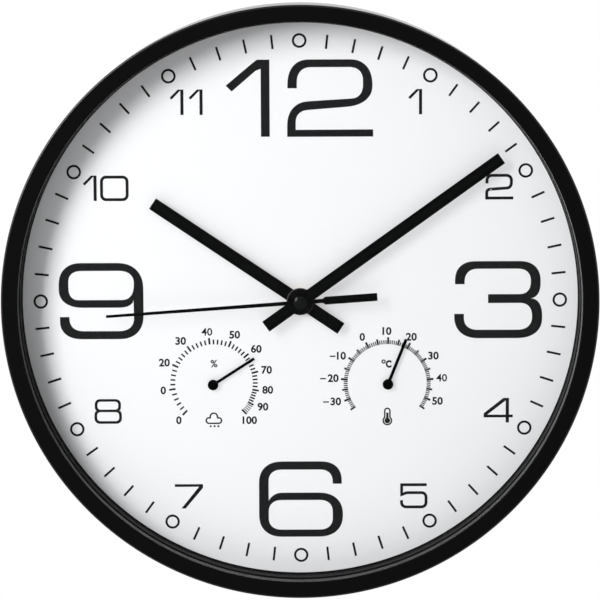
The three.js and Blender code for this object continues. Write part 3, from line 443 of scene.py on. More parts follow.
def finish(
    name, colour, roughness, fine=900, depth=0.006, shift=0.08, spread=0.1, patch=40,
    metallic=0.0, level=0.5, coat=0.0,
):
    """A finish whose colour drifts in patches, with a fine grain in its gloss and relief.

    The roughness is a number, or a function that works it out from the nodes. The grain and the
    patches are counted to the metre, the relief's depth is in millimetres, shift and spread are
    shares by which colour and gloss vary, and level is the strength of the reflection.
    """
    made, shop = new_finish(name)
    clouds = shop.grain(patch, 3.0)
    grain = shop.grain(fine)
    gloss = roughness(shop) if callable(roughness) else roughness
    darker, lighter = shade(colour, 1 - shift), shade(colour, 1 + shift)
    sockets = {
        "Base Color": shop.blend(clouds, darker, lighter),
        "Roughness": gloss + (grain - 0.5) * spread + (clouds - 0.5) * (spread / 2),
        "Normal": shop.bump(grain, depth),
        "Metallic": metallic,
        "Specular IOR Level": level,
        "Coat Weight": coat,
        "Coat Roughness": 0.12,
    }
    shop.end(shop.surface(sockets))
    return made


def metal(name, colour, roughness, fine, depth, *shifts):
    return finish(name, colour, roughness, fine, depth, *shifts, metallic=1.0)


def clear_glass():
    """A flat pane: clear straight through, and shinier towards its edge-on side."""
    made, shop = new_finish("clear_glass")
    clear = shop.node("ShaderNodeBsdfTransparent", {"Color": (0.986, 0.987, 0.988, 1)})
    sockets = {
        "Base Color": (0.9, 0.92, 0.92, 1),
        "Roughness": 0.03,
        "Metallic": 1.0,
        "Normal": shop.bump(shop.grain(8, 1.0), 0.02),
    }
    shine = shop.surface(sockets)
    outside = 1 - shop.node("ShaderNodeNewGeometry", output="Backfacing")
    share = shop.node("ShaderNodeFresnel", {"IOR": 1.1}) * outside
    shop.end(shop.node("ShaderNodeMixShader", {0: share, 1: clear, 2: shine}))
    return made


def zinc():
    """Zinc plated sheet: cool metal with faint spangles and rolling marks."""
    made, shop = new_finish("zinc_plate")
    sockets = {"Vector": shop.spot(260), "Scale": 1.0}
    spangle = shop.node("ShaderNodeTexVoronoi", sockets, output="Color")
    tone = shop.ramp(spangle, (0.2, 0.0), (0.8, 1.0))
    marks = shop.grain((40, 2500, 2500))
    sockets = {
        "Base Color": shop.blend(tone, (0.5, 0.51, 0.53), (0.66, 0.67, 0.68)),
        "Roughness": 0.3 + tone * 0.1 + marks * 0.12,
        "Metallic": 1.0,
        "Normal": shop.bump(marks, 0.003),
    }
    shop.end(shop.surface(sockets))
    return made


def foot_to_lip(shop):
    """Matt at the dial and glossier towards the lip."""
    foot, top = -24.5 * MM, -33.5 * MM
    depth = shop.node("ShaderNodeSeparateXYZ", {0: shop.spot()}, output=1)
    sockets = {"Value": depth, "From Min": foot, "From Max": top, "To Min": 0.85, "To Max": 0.4}
    return shop.node("ShaderNodeMapRange", sockets)


turned = (300, 6000, 300)  # grain that follows the tool round
rolled = (2200, 100, 2200)  # grain along a strip

frame_black = finish("frame_black", (0.003, 0.003, 0.0032), 0.33, depth=0.004, level=0.025)
frame_gloss = finish("frame_gloss", (0.004, 0.004, 0.0042), 0.2, depth=0.001, level=0.3)
lip_gloss = finish("lip_gloss", (0.004, 0.004, 0.0042), 0.3, turned, 0.002, 0.08, 0.2, level=0.1)
# Painted shade: the foot of the spacer's wall, by the dial, is darker and reflects less
ring_foot_painted_shade = finish("ring_foot_painted_shade", (0.003, 0.003, 0.0032), foot_to_lip, 2200, 0.01, level=0.012)
ring_black = finish("ring_black", (0.005, 0.005, 0.0055), foot_to_lip, 2200, 0.008, level=0.05)
dial_tone = (0.93, 0.935, 0.945)
dial_white = finish("dial_white", dial_tone, 0.5, 3000, 0.002, 0.006, 0.08, 25, level=0.25)
ink_black = finish("ink_black", (0.011, 0.0115, 0.012), 0.5, 3000, 0.002, 0.1, 0.08, level=0.05)
hand_black = finish("hand_black", (0.0018, 0.002, 0.002), 0.36, 1500, 0.003, level=0.02)
hub_black = finish("hub_black", (0.0022, 0.0021, 0.002), 0.3, 1500, 0.003, level=0.03)
hub_edge = finish("hub_edge", (0.004, 0.004, 0.004), 0.3, 1500, 0.001, level=0.55)
pointer_black = finish("pointer_black", (0.0012, 0.0014, 0.0014), 0.4, 1500, 0.003, level=0.01)
cap_black = finish("cap_black", (0.001, 0.0016, 0.0014), 0.04, 700, 0.0005, spread=0.02, level=0.1)
back_grey = finish("back_grey", (0.042, 0.043, 0.046), 0.55, 2600, 0.03, 0.1)
case_black = finish("case_black", (0.022, 0.022, 0.024), 0.5, 3200, 0.02, 0.12)
cover_black = finish("cover_black", (0.03, 0.03, 0.032), 0.58, 3600, 0.025, 0.12)
mark_grey = finish("mark_grey", (0.42, 0.42, 0.41), 0.55, 3000, 0.01, 0.12)
knob_black = finish("knob_black", (0.026, 0.026, 0.027), 0.45, 2400, 0.012, 0.1)
cup_black = finish("cup_black", (0.034, 0.034, 0.036), 0.5, 3000, 0.02, 0.1)
nylon = finish("nylon", (0.78, 0.76, 0.69), 0.42, 1800, 0.006, 0.05)
rubber = finish("washer_rubber", (0.018, 0.018, 0.018), 0.82, 1600, 0.02, 0.2)
brass = metal("turned_brass", (0.66, 0.48, 0.2), 0.26, (350, 6000, 350), 0.003, 0.1, 0.2)
copper = metal("copper_wire", (0.62, 0.24, 0.1), 0.3, 2500, 0.004, 0.15, 0.15)
iron = metal("core_iron", (0.33, 0.34, 0.35), 0.42, (150, 2500, 2500), 0.004, 0.12, 0.2)
magnet = finish("magnet_grey", (0.2, 0.2, 0.21), 0.5, 2200, 0.01, 0.15, metallic=0.8)
board = finish("board_green", (0.03, 0.16, 0.06), 0.35, 900, 0.008, 0.3, level=0.4)
nickel = metal("nickel", (0.7, 0.69, 0.66), 0.2, (120, 2200, 2200), 0.003, 0.06, 0.15)
jacket = finish("battery_jacket", (0.03, 0.11, 0.26), 0.28, 500, 0.004, 0.06, coat=0.4)
jacket_band = finish("battery_band", (0.62, 0.64, 0.66), 0.26, 500, 0.004, 0.04, coat=0.4)
bimetal = metal("bimetal", (0.62, 0.4, 0.24), 0.3, rolled, 0.003, 0.1)
moisture_strip = metal("moisture_strip", (0.6, 0.57, 0.48), 0.36, rolled, 0.003, 0.1)
zinc_plate = zinc()
glass = clear_glass()

# Frame, glass and spacer

ring = Seat("frame_ring")
lens = Seat("glass_lens")
spacer = Seat("spacer_ring")
dial = Seat("dial_plate")
back = Seat("back_plate")

rim = ring.half_width
bore = 145.2  # round the dial
wall_bore = 147.2  # at the wall
lip = 141.4
lip_seat = 36.3  # where the glass bears
bore_rear, wall_bore_front = 17.3, 15.3
rear_taper, lip_taper = 0.45, 0.2
frame_profile = rounded([
    (wall_bore, 0, 0.3), (rim - rear_taper, 0, 0.7), (rim, ring.front, 0.9),
    (lip + lip_taper, ring.front, 0.6), (lip, lip_seat, 0.2), (bore, lip_seat, 0.3),
    (bore, bore_rear, 0.3), (wall_bore, wall_bore_front, 0.3),
], steps=5)
lug_count, lug_front, lug_thickness = 6, 20.1, 1.4
lug_root, lug_reach = 1.4, 1.8
lug = arc(bore + lug_root, -2.8, 2.8, steps=8) + arc(bore - lug_reach, 2.7, -2.7, steps=8)
lugs = []
for i in range(lug_count):
    outline = turned_by(lug, 30 + i * 360 / lug_count)
    lugs.append(Blank(0.2).slab([outline], lug_front - lug_thickness, lug_front))
frame_blank = merged(Blank().lathe(frame_profile, sides=288), lugs)


def frame_sides(x, z, depth):
    """The face is satin, and the outer wall, its corner and the wall of the lip are glossier."""
    radius = hypot(x, z)
    on_corner = depth > ring.front - 1.1 and radius > rim - 1.2
    if radius > rim - 0.7 or on_corner:
        return 1
    return 2 if radius < lip + 0.35 and depth < ring.front - 0.3 else 0


frame_finishes = [frame_black, frame_gloss, lip_gloss]
piece("outer_frame", frame_blank, frame_finishes, "frame_ring", mark=frame_sides)

ground = 0.35  # of the glass's edges
lens_profile = turned_ring(0, lens.half_width, lens.rear, lens.front, (0, ground, ground, 0))
piece("lens", Blank().lathe(lens_profile, sides=240), glass, "glass_lens")

painted_shade_front = 29  # up to here the spacer's wall is darker and reflects less: painted shade at its foot beside the dial
dial_room, dial_stop = 141.55, 24.3
spacer_profile = rounded([
    (140.4, dial_stop, 0.25), (dial_room, dial_stop), (dial_room, spacer.rear, 0.15),
    (spacer.half_width, spacer.rear, 0.3), (spacer.half_width, spacer.front, 0.3),
    (141.1, spacer.front, 0.3), (140.75, painted_shade_front),
], steps=4)
screw_circle = 142.8
screw_spots = [on_circle(screw_circle, 60 * i) for i in range(6)]
pilots = [drum(1, 22, 27.7, x, z, 16) for x, z in screw_spots]
spacer_blank = merged(Blank().lathe(spacer_profile, sides=288), cuts=pilots)
# The spacer's wall is darker near the dial, as painted shade at its foot
piece(
    "spacer", spacer_blank, [ring_black, ring_foot_painted_shade], "spacer_ring",
    mark=lambda x, z, depth: int(depth < painted_shade_front),
)

# Dial and its print

gauges = {"hygrometer": Seat("hygrometer_arbor"), "thermometer": Seat("thermometer_arbor")}
bush_hole, arbor_hole = 4.3, 1.2
dial_loops = [circle(dial.half_width, sides=240), circle(bush_hole)]
dial_loops += [circle(arbor_hole, seat.x, seat.z, 24) for seat in gauges.values()]
dial_blank = Blank().slab(dial_loops, dial.rear, dial.front)
piece("dial", dial_blank, dial_white, "dial_plate", edge=0.08)

ink_rear, ink_front = dial.front - 0.02, dial.front + 0.05
small_stroke = 1.48


def printed(blank, *shapes):
    """Ink on the dial, from shapes of an outline and the outlines of its holes."""
    for loops in shapes:
        blank.slab(loops, ink_rear, ink_front)


def one(x, top, bottom):
    """A small 1, by the middle of its upright."""
    half = 0.78
    return [
        (x + half, top), (x + half, bottom), (x - half, bottom), (x - half, top - 0.5),
        (x - 5.26, top - 5.04), (x - 6.18, top - 4.12), (x - 2.03, top),
    ]


def stroke(corners, closed=False):
    return ribbon(rounded(corners, closed=closed), small_stroke, closed)


large_one = [
    (-15, 121.9), (-15, 83.2), (-19.4, 83.2), (-19.4, 117.3), (-22, 116.3),
    (-34, 106), (-37, 108.9), (-24, 119.8), (-21.3, 121.9),
]
large_two = rounded([
    (-6, 107.5), (-6, 121.9, 12.5, 10.5), (36.6, 121.9, 11, 12.5), (36.7, 99.1, 9.5, 13),
    (-1.9, 96.1, 6, 5.5), (-1.9, 86.6), (37, 86.7), (37, 83.1), (-6.2, 83.1),
    (-6.2, 100.3, 11.5, 10.5), (31.9, 102.6, 5.5, 6.5), (31.9, 118.05, 6.5, 7),
    (-1.3, 118.05, 7, 7.5), (-1.3, 107.5),
], SOFT, 10)
large_three = rounded([
    (78.35, 8.05), (78.35, 19.75, 9.5, 10), (121.7, 19.75, 10.5, 10), (121.6, 1.2, 7, 4.9),
    (116.7, 0.75), (122.5, 0.6, 5.8, 8.5), (122.5, -19.6, 10, 12.5), (78, -19.6, 12, 11),
    (78, -7.1), (82.9, -7.1), (82.9, -15.3, 6, 7), (117.4, -15.3, 7, 6.5),
    (117.4, -1.6, 6.5, 6), (95.1, -1.6), (95.1, 2.9), (116.7, 2.9, 5.5, 6),
    (116.7, 15.9, 6, 6.5), (83.2, 15.9, 6.5, 6.5), (83.2, 8.05),
], SOFT, 10)
large_nine = rounded([
    (-121.8, -8), (-121.8, -19.4, 9, 11), (-79.4, -19.4, 12, 12), (-79.4, 19.5, 13, 13),
    (-122.2, 19.5, 11, 11), (-122.2, -3.3, 9, 12), (-84.5, -3.3, 7.5, 4.2), (-84.4, 0.9),
    (-84.2, -15.3, 6.5, 7.5), (-117, -15.3, 7, 6.5), (-117, -8),
], SOFT, 10)
nine_counter = rounded([
    (-117.3, 15.5, 5.5, 6.5), (-84.2, 15.5, 7.5, 6), (-84.2, 0.6, 7.5, 6), (-117.3, 0.6, 5, 6),
], SOFT, 10)
large_six = rounded([
    (20.8, -94.4), (20.8, -82.8, 9.5, 10.5), (-21.4, -82.8, 11.5, 11), (-21.4, -121.9, 11, 11.5),
    (21.4, -121.9, 12, 11), (21.4, -99, 11, 12), (-14.2, -99, 4.5, 4.6), (-16.5, -103.1),
    (-16.5, -87, 6, 6.5), (16.2, -87, 6.5, 6), (16.2, -94.4),
], SOFT, 10)
six_counter = rounded([
    (-16.5, -102.8, 6, 6.5), (16.2, -102.8, 6.5, 6), (16.2, -118.2, 6, 6.5),
    (-16.5, -118.2, 6.5, 6),
], SOFT, 10)
large_numerals = [
    [large_one], [large_two], [large_three], [large_nine, nine_counter], [large_six, six_counter]
]
small_two = stroke([
    (94.3, 59.2), (94.3, 63.25, 2.4), (106.6, 63.25, 2.4), (106.6, 57, 2.4, 2), (97, 56.35, 2),
    (94.2, 56.2, 1.6), (94.2, 51.8), (107.6, 51.8),
])
small_four = [
    [
        (103.1, -50.35), (105.95, -50.35), (105.95, -58.95), (107.9, -58.95), (107.9, -60.35),
        (105.95, -60.35), (105.95, -63), (104.3, -63), (104.3, -60.35), (93.1, -60.35),
        (93.1, -58.25),
    ],
    [(104.3, -51.6), (104.3, -58.95), (94.9, -58.95)],
]
small_five = stroke([
    (64.2, -95.08), (51.4, -95.08), (51.4, -100.2), (53.8, -99.2, 0.8), (63.85, -99.2, 2.3),
    (63.85, -106.6, 2.3), (51.35, -106.6, 2.3), (51.35, -103.1),
])
small_seven = [[
    (-64.4, -94.4), (-50, -94.4), (-50, -96.3), (-58.95, -107), (-61.1, -107),
    (-52, -95.75), (-64.4, -95.75),
]]
small_eight = [
    rounded([
        (-104.74, -50.25, 2.6), (-91.41, -50.25, 2.6), (-91.41, -56.1, 2.2, 0.9), (-92.6, -56.3),
        (-91.01, -56.5, 0.9, 2.2), (-91.01, -62.95, 2.7), (-104.94, -62.95, 2.7),
        (-104.94, -56.5, 2.2, 0.9), (-103.4, -56.3), (-104.74, -56.1, 0.9, 2.2),
    ]),
    rounded([
        (-103.36, -51.55, 1.5), (-92.79, -51.55, 1.5), (-92.79, -55.65, 1.5), (-103.36, -55.65, 1.5)
    ]),
    rounded([
        (-103.56, -56.95, 1.6), (-92.39, -56.95, 1.6), (-92.39, -61.6, 1.6), (-103.56, -61.6, 1.6)
    ]),
]
small_zero = stroke([
    (-99.9, 63.1, 2.3), (-87, 63.1, 2.3), (-87, 51.7, 2.3), (-99.9, 51.7, 2.3),
], closed=True)
small_ones = [
    [one(-59, 107.05, 94.3)],
    [one(-49.4, 107.05, 94.3)],
    [one(-103.15, 63.9, 51.1)],
    [one(60.8, 106.9, 94.2)],
]

numerals = Blank()
printed(numerals, *large_numerals, *small_ones, small_zero, small_two, small_four)
printed(numerals, small_five, small_seven, small_eight)
piece("numerals", numerals, ink_black)

marker_radius, marker_outer, marker_line = 131.4, 3.68, 1.12
minute_tick = box(-0.55, 127.85, 0.55, 134.95)
markers = Blank()
for i in range(60):
    if i % 5:
        printed(markers, [turned_by(minute_tick, 6 * i)])
    else:
        spot = on_circle(marker_radius, 6 * i)
        rings = [circle(marker_outer, *spot), circle(marker_outer - marker_line, *spot)]
        printed(markers, rings)
piece("minute_track", markers, ink_black)

# Print of the two gauges

GLYPH = 0.7  # height of a digit in the plain font, as a share of its size
label_height, label_width = 3.75, 1.03
label_weight, four_weight = 0.03, 0.016


def lettering(blank, text, x, z, height, width, weight):
    """Digits and signs stamped flat, with the middle of the text at x, z."""
    curve = bpy.data.curves.new("text", "FONT")
    curve.body = text
    curve.resolution_u = 3
    curve.offset = weight
    thing = new_object("text", curve)
    bpy.context.view_layer.update()
    flat = thing.evaluated_get(bpy.context.evaluated_depsgraph_get()).to_mesh()
    made = bmesh.new()
    made.from_mesh(flat)
    bmesh.ops.remove_doubles(made, verts=made.verts, dist=1e-5)
    across = [v.co.x for v in made.verts]
    middle = (min(across) + max(across)) / 2
    scale = height / GLYPH
    spots = [
        (x + (v.co.x - middle) * scale * width, z + (v.co.y - GLYPH / 2) * scale)
        for v in made.verts
    ]
    count = len(spots)
    points = [(*spot, ink_rear) for spot in spots] + [(*spot, ink_front) for spot in spots]
    faces = [[v.index for v in f.verts] for f in made.faces]
    faces += [[v.index + count for v in reversed(f.verts)] for f in made.faces]
    for e in made.edges:
        if len(e.link_faces) == 1:
            a, b = (v.index for v in e.verts)
            faces.append([a, b, b + count, a + count])
    blank.add(points, faces)
    made.free()
    bpy.data.objects.remove(thing)


def scale_labels(blank, rows):
    """The numbers of a scale. A 4 is thinner, since its closed corner would fill."""
    for text, x, z in rows:
        weight = four_weight if "4" in text else label_weight
        lettering(blank, text, x, z, label_height, label_width, weight)


def scale_marks(blank, x, z, *rows):
    """Ticks round a pivot, from rows of (angles, inner radius, outer radius, width)."""
    for angles, inner, outer, width in rows:
        for angle in angles:
            tick = turned_by(box(-width / 2, inner, width / 2, outer), angle)
            printed(blank, [moved(tick, x, z)])


def between(angles, parts):
    """The angles that share out each step of a scale."""
    steps = zip(angles, angles[1:])
    return [start + (end - start) * i / parts for start, end in steps for i in range(1, parts)]


humidity_angles = [224.1, 261, 293.9, 324.3, 354, 382.4, 409.9, 435.7, 460.4, 479.9, 494.4]
# from -40 to 60 degrees, though the print stops 5 degrees short of each
ten_degrees = [-140.2, -112.7, -84.7, -56.2, -27.4, 1.3, 29.7, 57.6, 84.9, 111.8, 138.4]
five_degrees = between(ten_degrees, 2)
degrees = [a for a in between(ten_degrees, 10) if five_degrees[0] < a < five_degrees[-1]]
humidity_labels = [
    ("0", -62.0, -61.2), ("0", -69.8, -45.8), ("20", -69.1, -31.5), ("30", -60.7, -20.4),
    ("40", -47.4, -15.8), ("50", -33.3, -17.3), ("60", -22.4, -24.6), ("70", -17.2, -35.4),
    ("80", -16.7, -45.7), ("90", -19.2, -54.4), ("100", -25.9, -61.3),
]
temperature_labels = [
    ("30", 17.9, -51.8), ("20", 16.6, -39.8), ("10", 20.8, -28.3), ("0", 31.4, -18.7),
    ("10", 43.9, -15.7), ("20", 56.3, -18.7), ("30", 67.5, -28.4), ("40", 71.7, -39.8),
    ("50", 69.6, -51.7),
]

humidity_print = Blank()
scale_marks(
    humidity_print, -43.97, -42,
    (between(humidity_angles[:-1], 5), 19.7, 22.2, 0.78),
    (between(humidity_angles[-2:], 5), 20, 23, 0.45),
    (humidity_angles, 19.8, 23.1, 0.95),
)
scale_labels(humidity_print, humidity_labels)
lettering(humidity_print, "%", -43.9, -32.1, 3.7, 0.98, 0.018)
cloud = arc(1.42, 180, 380, -46.68, -61.48, 16) + arc(1.85, 258, 462, -44.2, -59.5, 18)
cloud += arc(1.42, 340, 540, -41.72, -61.48, 16)
drops = [[circle(0.52, x, -64.4, 16)] for x in (-45.8, -43.87, -41.94)]
printed(humidity_print, ribbon(cloud, 0.74, closed=True), *drops)
piece("humidity_scale", humidity_print, ink_black)

temperature_print = Blank()
scale_marks(
    temperature_print, 44.02, -42.5,
    (degrees, 20.1, 22.1, 0.56),
    (five_degrees, 20.1, 23.1, 0.92),
    (ten_degrees[1:-1], 20.1, 23.6, 1.02),
)
scale_labels(temperature_print, temperature_labels)
for x, z in ((12.9, -52.1), (11.4, -40.1), (16.3, -28.6)):
    printed(temperature_print, [box(x - 1.45, z - 0.33, x + 1.45, z + 0.33)])
printed(temperature_print, ribbon(circle(0.78, 42.2, -31.4, 20), 0.62, closed=True))
lettering(temperature_print, "C", 44.75, -32.6, 3.4, 0.84, 0.052)
bulb = (44.1, -61.8)
tube = arc(2.12, 38.5, 321.5, *bulb, steps=24) + arc(1.32, 270, 450, bulb[0], -56.8)
filling = arc(1.45, 24, 336, *bulb, steps=24) + [(43.51, -57.7), (44.69, -57.7)]
printed(temperature_print, ribbon(tube, 0.72, closed=True), [filling])
piece("temperature_scale", temperature_print, ink_black)

# Hands

hour = Seat("hour_hand")
minute = Seat("minute_hand")
second = Seat("second_hand")
hour_angle, minute_angle, second_angle = 304, 54.4, 266


def bar(half_width, tail, tip, angle):
    """The outline of a straight hand."""
    return turned_by(box(-half_width, -tail, half_width, tip), angle)


hour_bar_front = hour.rear + 0.6
hour_bar = Blank(0.1).slab([bar(3.2, 24.8, 89.4, hour_angle)], hour.rear, hour_bar_front)
hub_radius, hub_rounding = 6.9, 0.3
hub_profile = turned_ring(0, hub_radius, hour.rear, hour.front, (0, 0, hub_rounding, 0), 4)
hour_blank = merged(hour_bar, [Blank().lathe(hub_profile)], [drum(2.65, 27, 29)])


def on_hub(x, z, depth):
    """The bar is satin, the top of the hub smoother, and its rounded edge polished."""
    if depth < hour_bar_front + 0.02:
        return 0
    return 2 if hypot(x, z) > hub_radius - 0.4 else 1


hour_finishes = [hand_black, hub_black, hub_edge]
piece("hour_bar", hour_blank, hour_finishes, "hour_hand", mark=on_hub)

minute_bore = 1.25
minute_loops = [bar(3.1, 21.4, 124.5, minute_angle), circle(minute_bore, sides=32)]
minute_blank = Blank().slab(minute_loops, minute.rear, minute.front)
piece("minute_bar", minute_blank, hand_black, "minute_hand", edge=0.1)

tip, needle, paddle = 0.7, 1.05, 2.0  # half widths of the second hand, from tip to tail
reach, neck, tail = 98.2, 11.6, 39
shoulder = neck + paddle - needle
right_side = [(tip, reach), (needle, -neck), (paddle, -shoulder), (paddle, -tail)]
second_loop = turned_by([(-x, z) for x, z in right_side] + right_side[::-1], second_angle)
second_bar = Blank(0.07).slab([second_loop], second.rear, second.front)
second_hub = drum(2.95, second.rear, second.front, sides=64)
second_blank = merged(second_bar, [second_hub], [drum(0.6, 31, 32, sides=24)])
piece("second_needle", second_blank, hand_black, "second_hand")

cap = Seat("second_hand_cap")
dome_steps = 16
dome_radius = (cap.half_width**2 + 1) / 2  # of a dome 1 mm high
cap_profile = [(0, cap.rear), (cap.half_width - 0.1, cap.rear), (cap.half_width, cap.rear + 0.1)]
for i in range(dome_steps + 1):
    radius = cap.half_width * (1 - i / dome_steps)
    drop = dome_radius - sqrt(dome_radius**2 - radius**2)
    cap_profile.append((radius, cap.front - drop))
piece("hand_cap", Blank().lathe(cap_profile, sides=72), cap_black, "second_hand_cap")

collar = Seat("minute_hand_collar")
collar_profile = turned_ring(minute_bore, 2.15, collar.rear, collar.front, (0.1, 0.2, 0.1, 0.1))
piece("hand_collar", Blank().lathe(collar_profile, sides=48), brass, "minute_hand_collar")

pointer_shapes = {"hygrometer": (57.2, 0.72), "thermometer": (21.8, 0.78)}
pointer_length, pointer_sheet, pointer_hub = 24.9, 0.4, 2.7
for name, (angle, half) in pointer_shapes.items():
    seat, pointer = gauges[name], Seat(f"{name}_pointer")
    outline = moved(bar(half, 2.6, pointer_length, angle), seat.x, seat.z)
    blade = Blank(0.05).slab([outline], pointer.rear, pointer.rear + pointer_sheet)
    profile = turned_ring(0, pointer_hub, pointer.rear, pointer.front, (0, 0.1, 0.25, 0))
    whole = merged(blade, [Blank().lathe(profile, seat.x, seat.z, sides=64)])
    piece(f"{name}_needle", whole, pointer_black, f"{name}_pointer")

# Back plate: ribs, pads and hooks on a disc, with marks of the ejector pins

plate_rear, rib_rear, pad_rear = 20.4, 17.4, 14.4
rib_foot = 21.5  # inside the plate
ring_rib, inner_ribs = 134.9, 62  # radius of the round rib, and where the straight ones start
gauge_spots = both_sides(44.4, -42.9)
hanger_spots = both_sides(27.5, 98.5)
pad_half_width, pad_low, pad_high = 6.5, 86, 111


def rounded_box(x0, z0, x1, z1, radius):
    return rounded([(x, z, radius) for x, z in box(x0, z0, x1, z1)], steps=5)


def rib(angle):
    half = 0.8
    outline = turned_by(rounded_box(-half, inner_ribs, half, ring_rib, 0.3), angle)
    return Blank(0.3).slab([outline], rib_rear, rib_foot)


def snap_hook(x, z, angle):
    """A post and its barb, which hold the flange of a gauge."""
    inner, outer, barb, half = 19.9, 21.4, 1, 2.5
    profile = [
        (inner, 21.6), (inner, 18.4), (inner - barb, 18.4), (inner - barb, 17.7), (19.7, 16.9),
        (outer, 16.9), (outer, 21.6),
    ]
    hook = Blank(0.15).slab([profile], -half, half)
    c, s = cos(radians(angle)), sin(radians(angle))
    hook.points = [(x + a * s + b * c, z + a * c - b * s, d) for a, d, b in hook.points]
    return hook


plate_blank = drum(back.half_width, plate_rear, back.front, sides=216, eased=0.3)
round_rib = Blank().lathe(rounded([
    (ring_rib - 0.8, rib_rear, 0.35), (ring_rib + 0.8, rib_rear, 0.35),
    (ring_rib + 0.95, rib_foot), (ring_rib - 0.95, rib_foot),
], steps=4), sides=216)
ribs = [rib(15 + 30 * i) for i in range(12)]
pads = []
for x, _ in hanger_spots:
    outline = rounded_box(x - pad_half_width, pad_low, x + pad_half_width, pad_high, 1.2)
    pads.append(Blank(0.5).slab([outline], pad_rear, 21.6))
gauge_rooms = [drum(22.1, 14, plate_rear, x, z, 96) for x, z in gauge_spots]
ribbed = merged(plate_blank, [round_rib, *ribs, *pads], gauge_rooms)
hooks = [snap_hook(x, z, angle) for x, z in gauge_spots for angle in (0, 120, 240)]
ejector_circles = ((128, range(0, 360, 30)), (84, range(30, 390, 60)), (139.8, range(15, 375, 30)))
ejector_marks = [
    drum(2.4, 19, plate_rear + 0.2, *on_circle(radius, angle), sides=32)
    for radius, angles in ejector_circles for angle in angles
]
through = (19, 24)
holes = [drum(bush_hole, *through, sides=64)]
holes += [drum(1.15, *through, x, z, 24) for x, z in screw_spots]
holes += [drum(2.9, *through, x, z, 32) for x, z in gauge_spots]
holes += [drum(1.45, 13, plate_rear, x, z, 24) for x, z in hanger_spots]
plate_whole = merged(ribbed, hooks, holes + ejector_marks)
piece("ribbed_back", plate_whole, back_grey, "back_plate", smooth=35)

# Screws with a cross recess


def cross_screws(name, node, spots, head, shank, rear, end):
    """Pan heads on shanks: a domed rear with a cross cut into it."""
    seat = rear + 1.3
    crown, reach, width = head * 0.62, head * 0.52, head * 0.15
    outline = rounded([
        (0, rear), (crown, rear + 0.03), (head, rear + 0.75, 0.6), (head, seat, 0.12),
        (shank, seat), (shank, end - shank), (0, end),
    ], steps=5)
    cross = [box(-a, -b, a, b) for a, b in ((reach, width), (width, reach))]
    for i, (x, z) in enumerate(spots):
        blank = Blank().lathe(outline, x, z, sides=40)
        cuts = [Blank().slab([moved(slot, x, z)], rear - 0.5, rear + 0.62) for slot in cross]
        whole = merged(blank, cuts=cuts)
        piece(f"{name}_{i + 1}", whole, zinc_plate, f"{node}_{i + 1}", edge=0.04)


cross_screws("plate_fixing", "back_plate_screw", screw_spots, 1.75, 0.85, 18.8, 27.1)
cross_screws("hanger_fixing", "hanger_screw", hanger_spots, 2.9, 1.3, 11.3, 18.6)

# Hanger: a strip with bend radii, a keyhole and two foot holes

hanger_end, bridge_rear, foot_rear, sheet = 34, 2, 12.9, 1.2
foot_front, leg_out = foot_rear + sheet, 21
leg_in = leg_out - sheet
outer_bend, inner_bend = 1.7, 0.6
hanger_side = [
    (leg_out, bridge_rear, outer_bend), (leg_out, foot_rear, inner_bend),
    (hanger_end, foot_rear), (hanger_end, foot_front),
    (leg_in, foot_front, outer_bend), (leg_in, bridge_rear + sheet, inner_bend),
]
mirrored = [(-x, *rest) for x, *rest in reversed(hanger_side)]
hanger_outline = rounded(hanger_side + mirrored, steps=5)
strip = Blank().slab([hanger_outline], pad_low, pad_high).upright()
slot_half, slot_top, eye, eye_height = 2.8, 102.2, 5.5, 93
opening = 30.6  # half the angle at which the slot leaves the eye
keyhole = arc(slot_half, -90, 90, 0, slot_top, 20)
keyhole += arc(eye, opening, 360 - opening, 0, eye_height, 32)
foot_holes = [drum(1.6, 11, 16, x, z, 32) for x, z in hanger_spots]
corner, past = 3, 0.5
corner_cuts = []
for side in (-1, 1):
    far = side * (hanger_end + past)
    near = far - side * corner
    for z, along in ((pad_high + past, -corner), (pad_low - past, corner)):
        corner_cuts.append(Blank().slab([[(far, z), (near, z), (far, z + along)]], 12, 15))
hanger = merged(strip, cuts=[Blank().slab([keyhole], 1, 4.2), *foot_holes, *corner_cuts])
piece("wall_hanger", hanger, zinc_plate, "hanger_bracket", edge=0.12, smooth=32)

# Movement: the case and its cover, with marks for setting and for the battery


def cover_marks(name, loops):
    """Raised marks on the rear of the movement's cover."""
    cover_rear = 3.0
    blank = Blank()
    for loop in loops:
        blank.slab([loop], cover_rear - 0.2, cover_rear + 0.1)
    piece(name, blank, mark_grey)


dressed("movement_tray", "movement_case", case_black, 0.28)
dressed("movement_cover", "movement_rear_cover", cover_black, 0.25)
knob = (7.59, 18.32)
arrow_radius, arrow_half = 9.4, 1.3
arrows = []
for start in (205, 25):
    arrows += ribbon(arc(arrow_radius, start, start + 100, *knob, 24), 0.8)
    arrows.append([
        on_circle(arrow_radius, start + 112, *knob),
        on_circle(arrow_radius + arrow_half, start + 99, *knob),
        on_circle(arrow_radius - arrow_half, start + 99, *knob),
    ])
cover_marks("setting_arrows", arrows)
thin, wide = 0.4, 1.6  # half the stroke and half the width of a sign
minus = box(-wide, -thin, wide, thin)
plus = [(-wide, -thin), (-thin, -thin), (-thin, -wide), (thin, -wide), (thin, -thin), (wide, -thin)]
plus += [(-x, -z) for x, z in plus]
cover_marks("polarity_marks", [moved(minus, -22, -8), moved(plus, 22, -8)])
dressed("setting_knob", "set_knob", knob_black, 0.12)

# Battery: metal ends inside the rolled lips of its sleeve

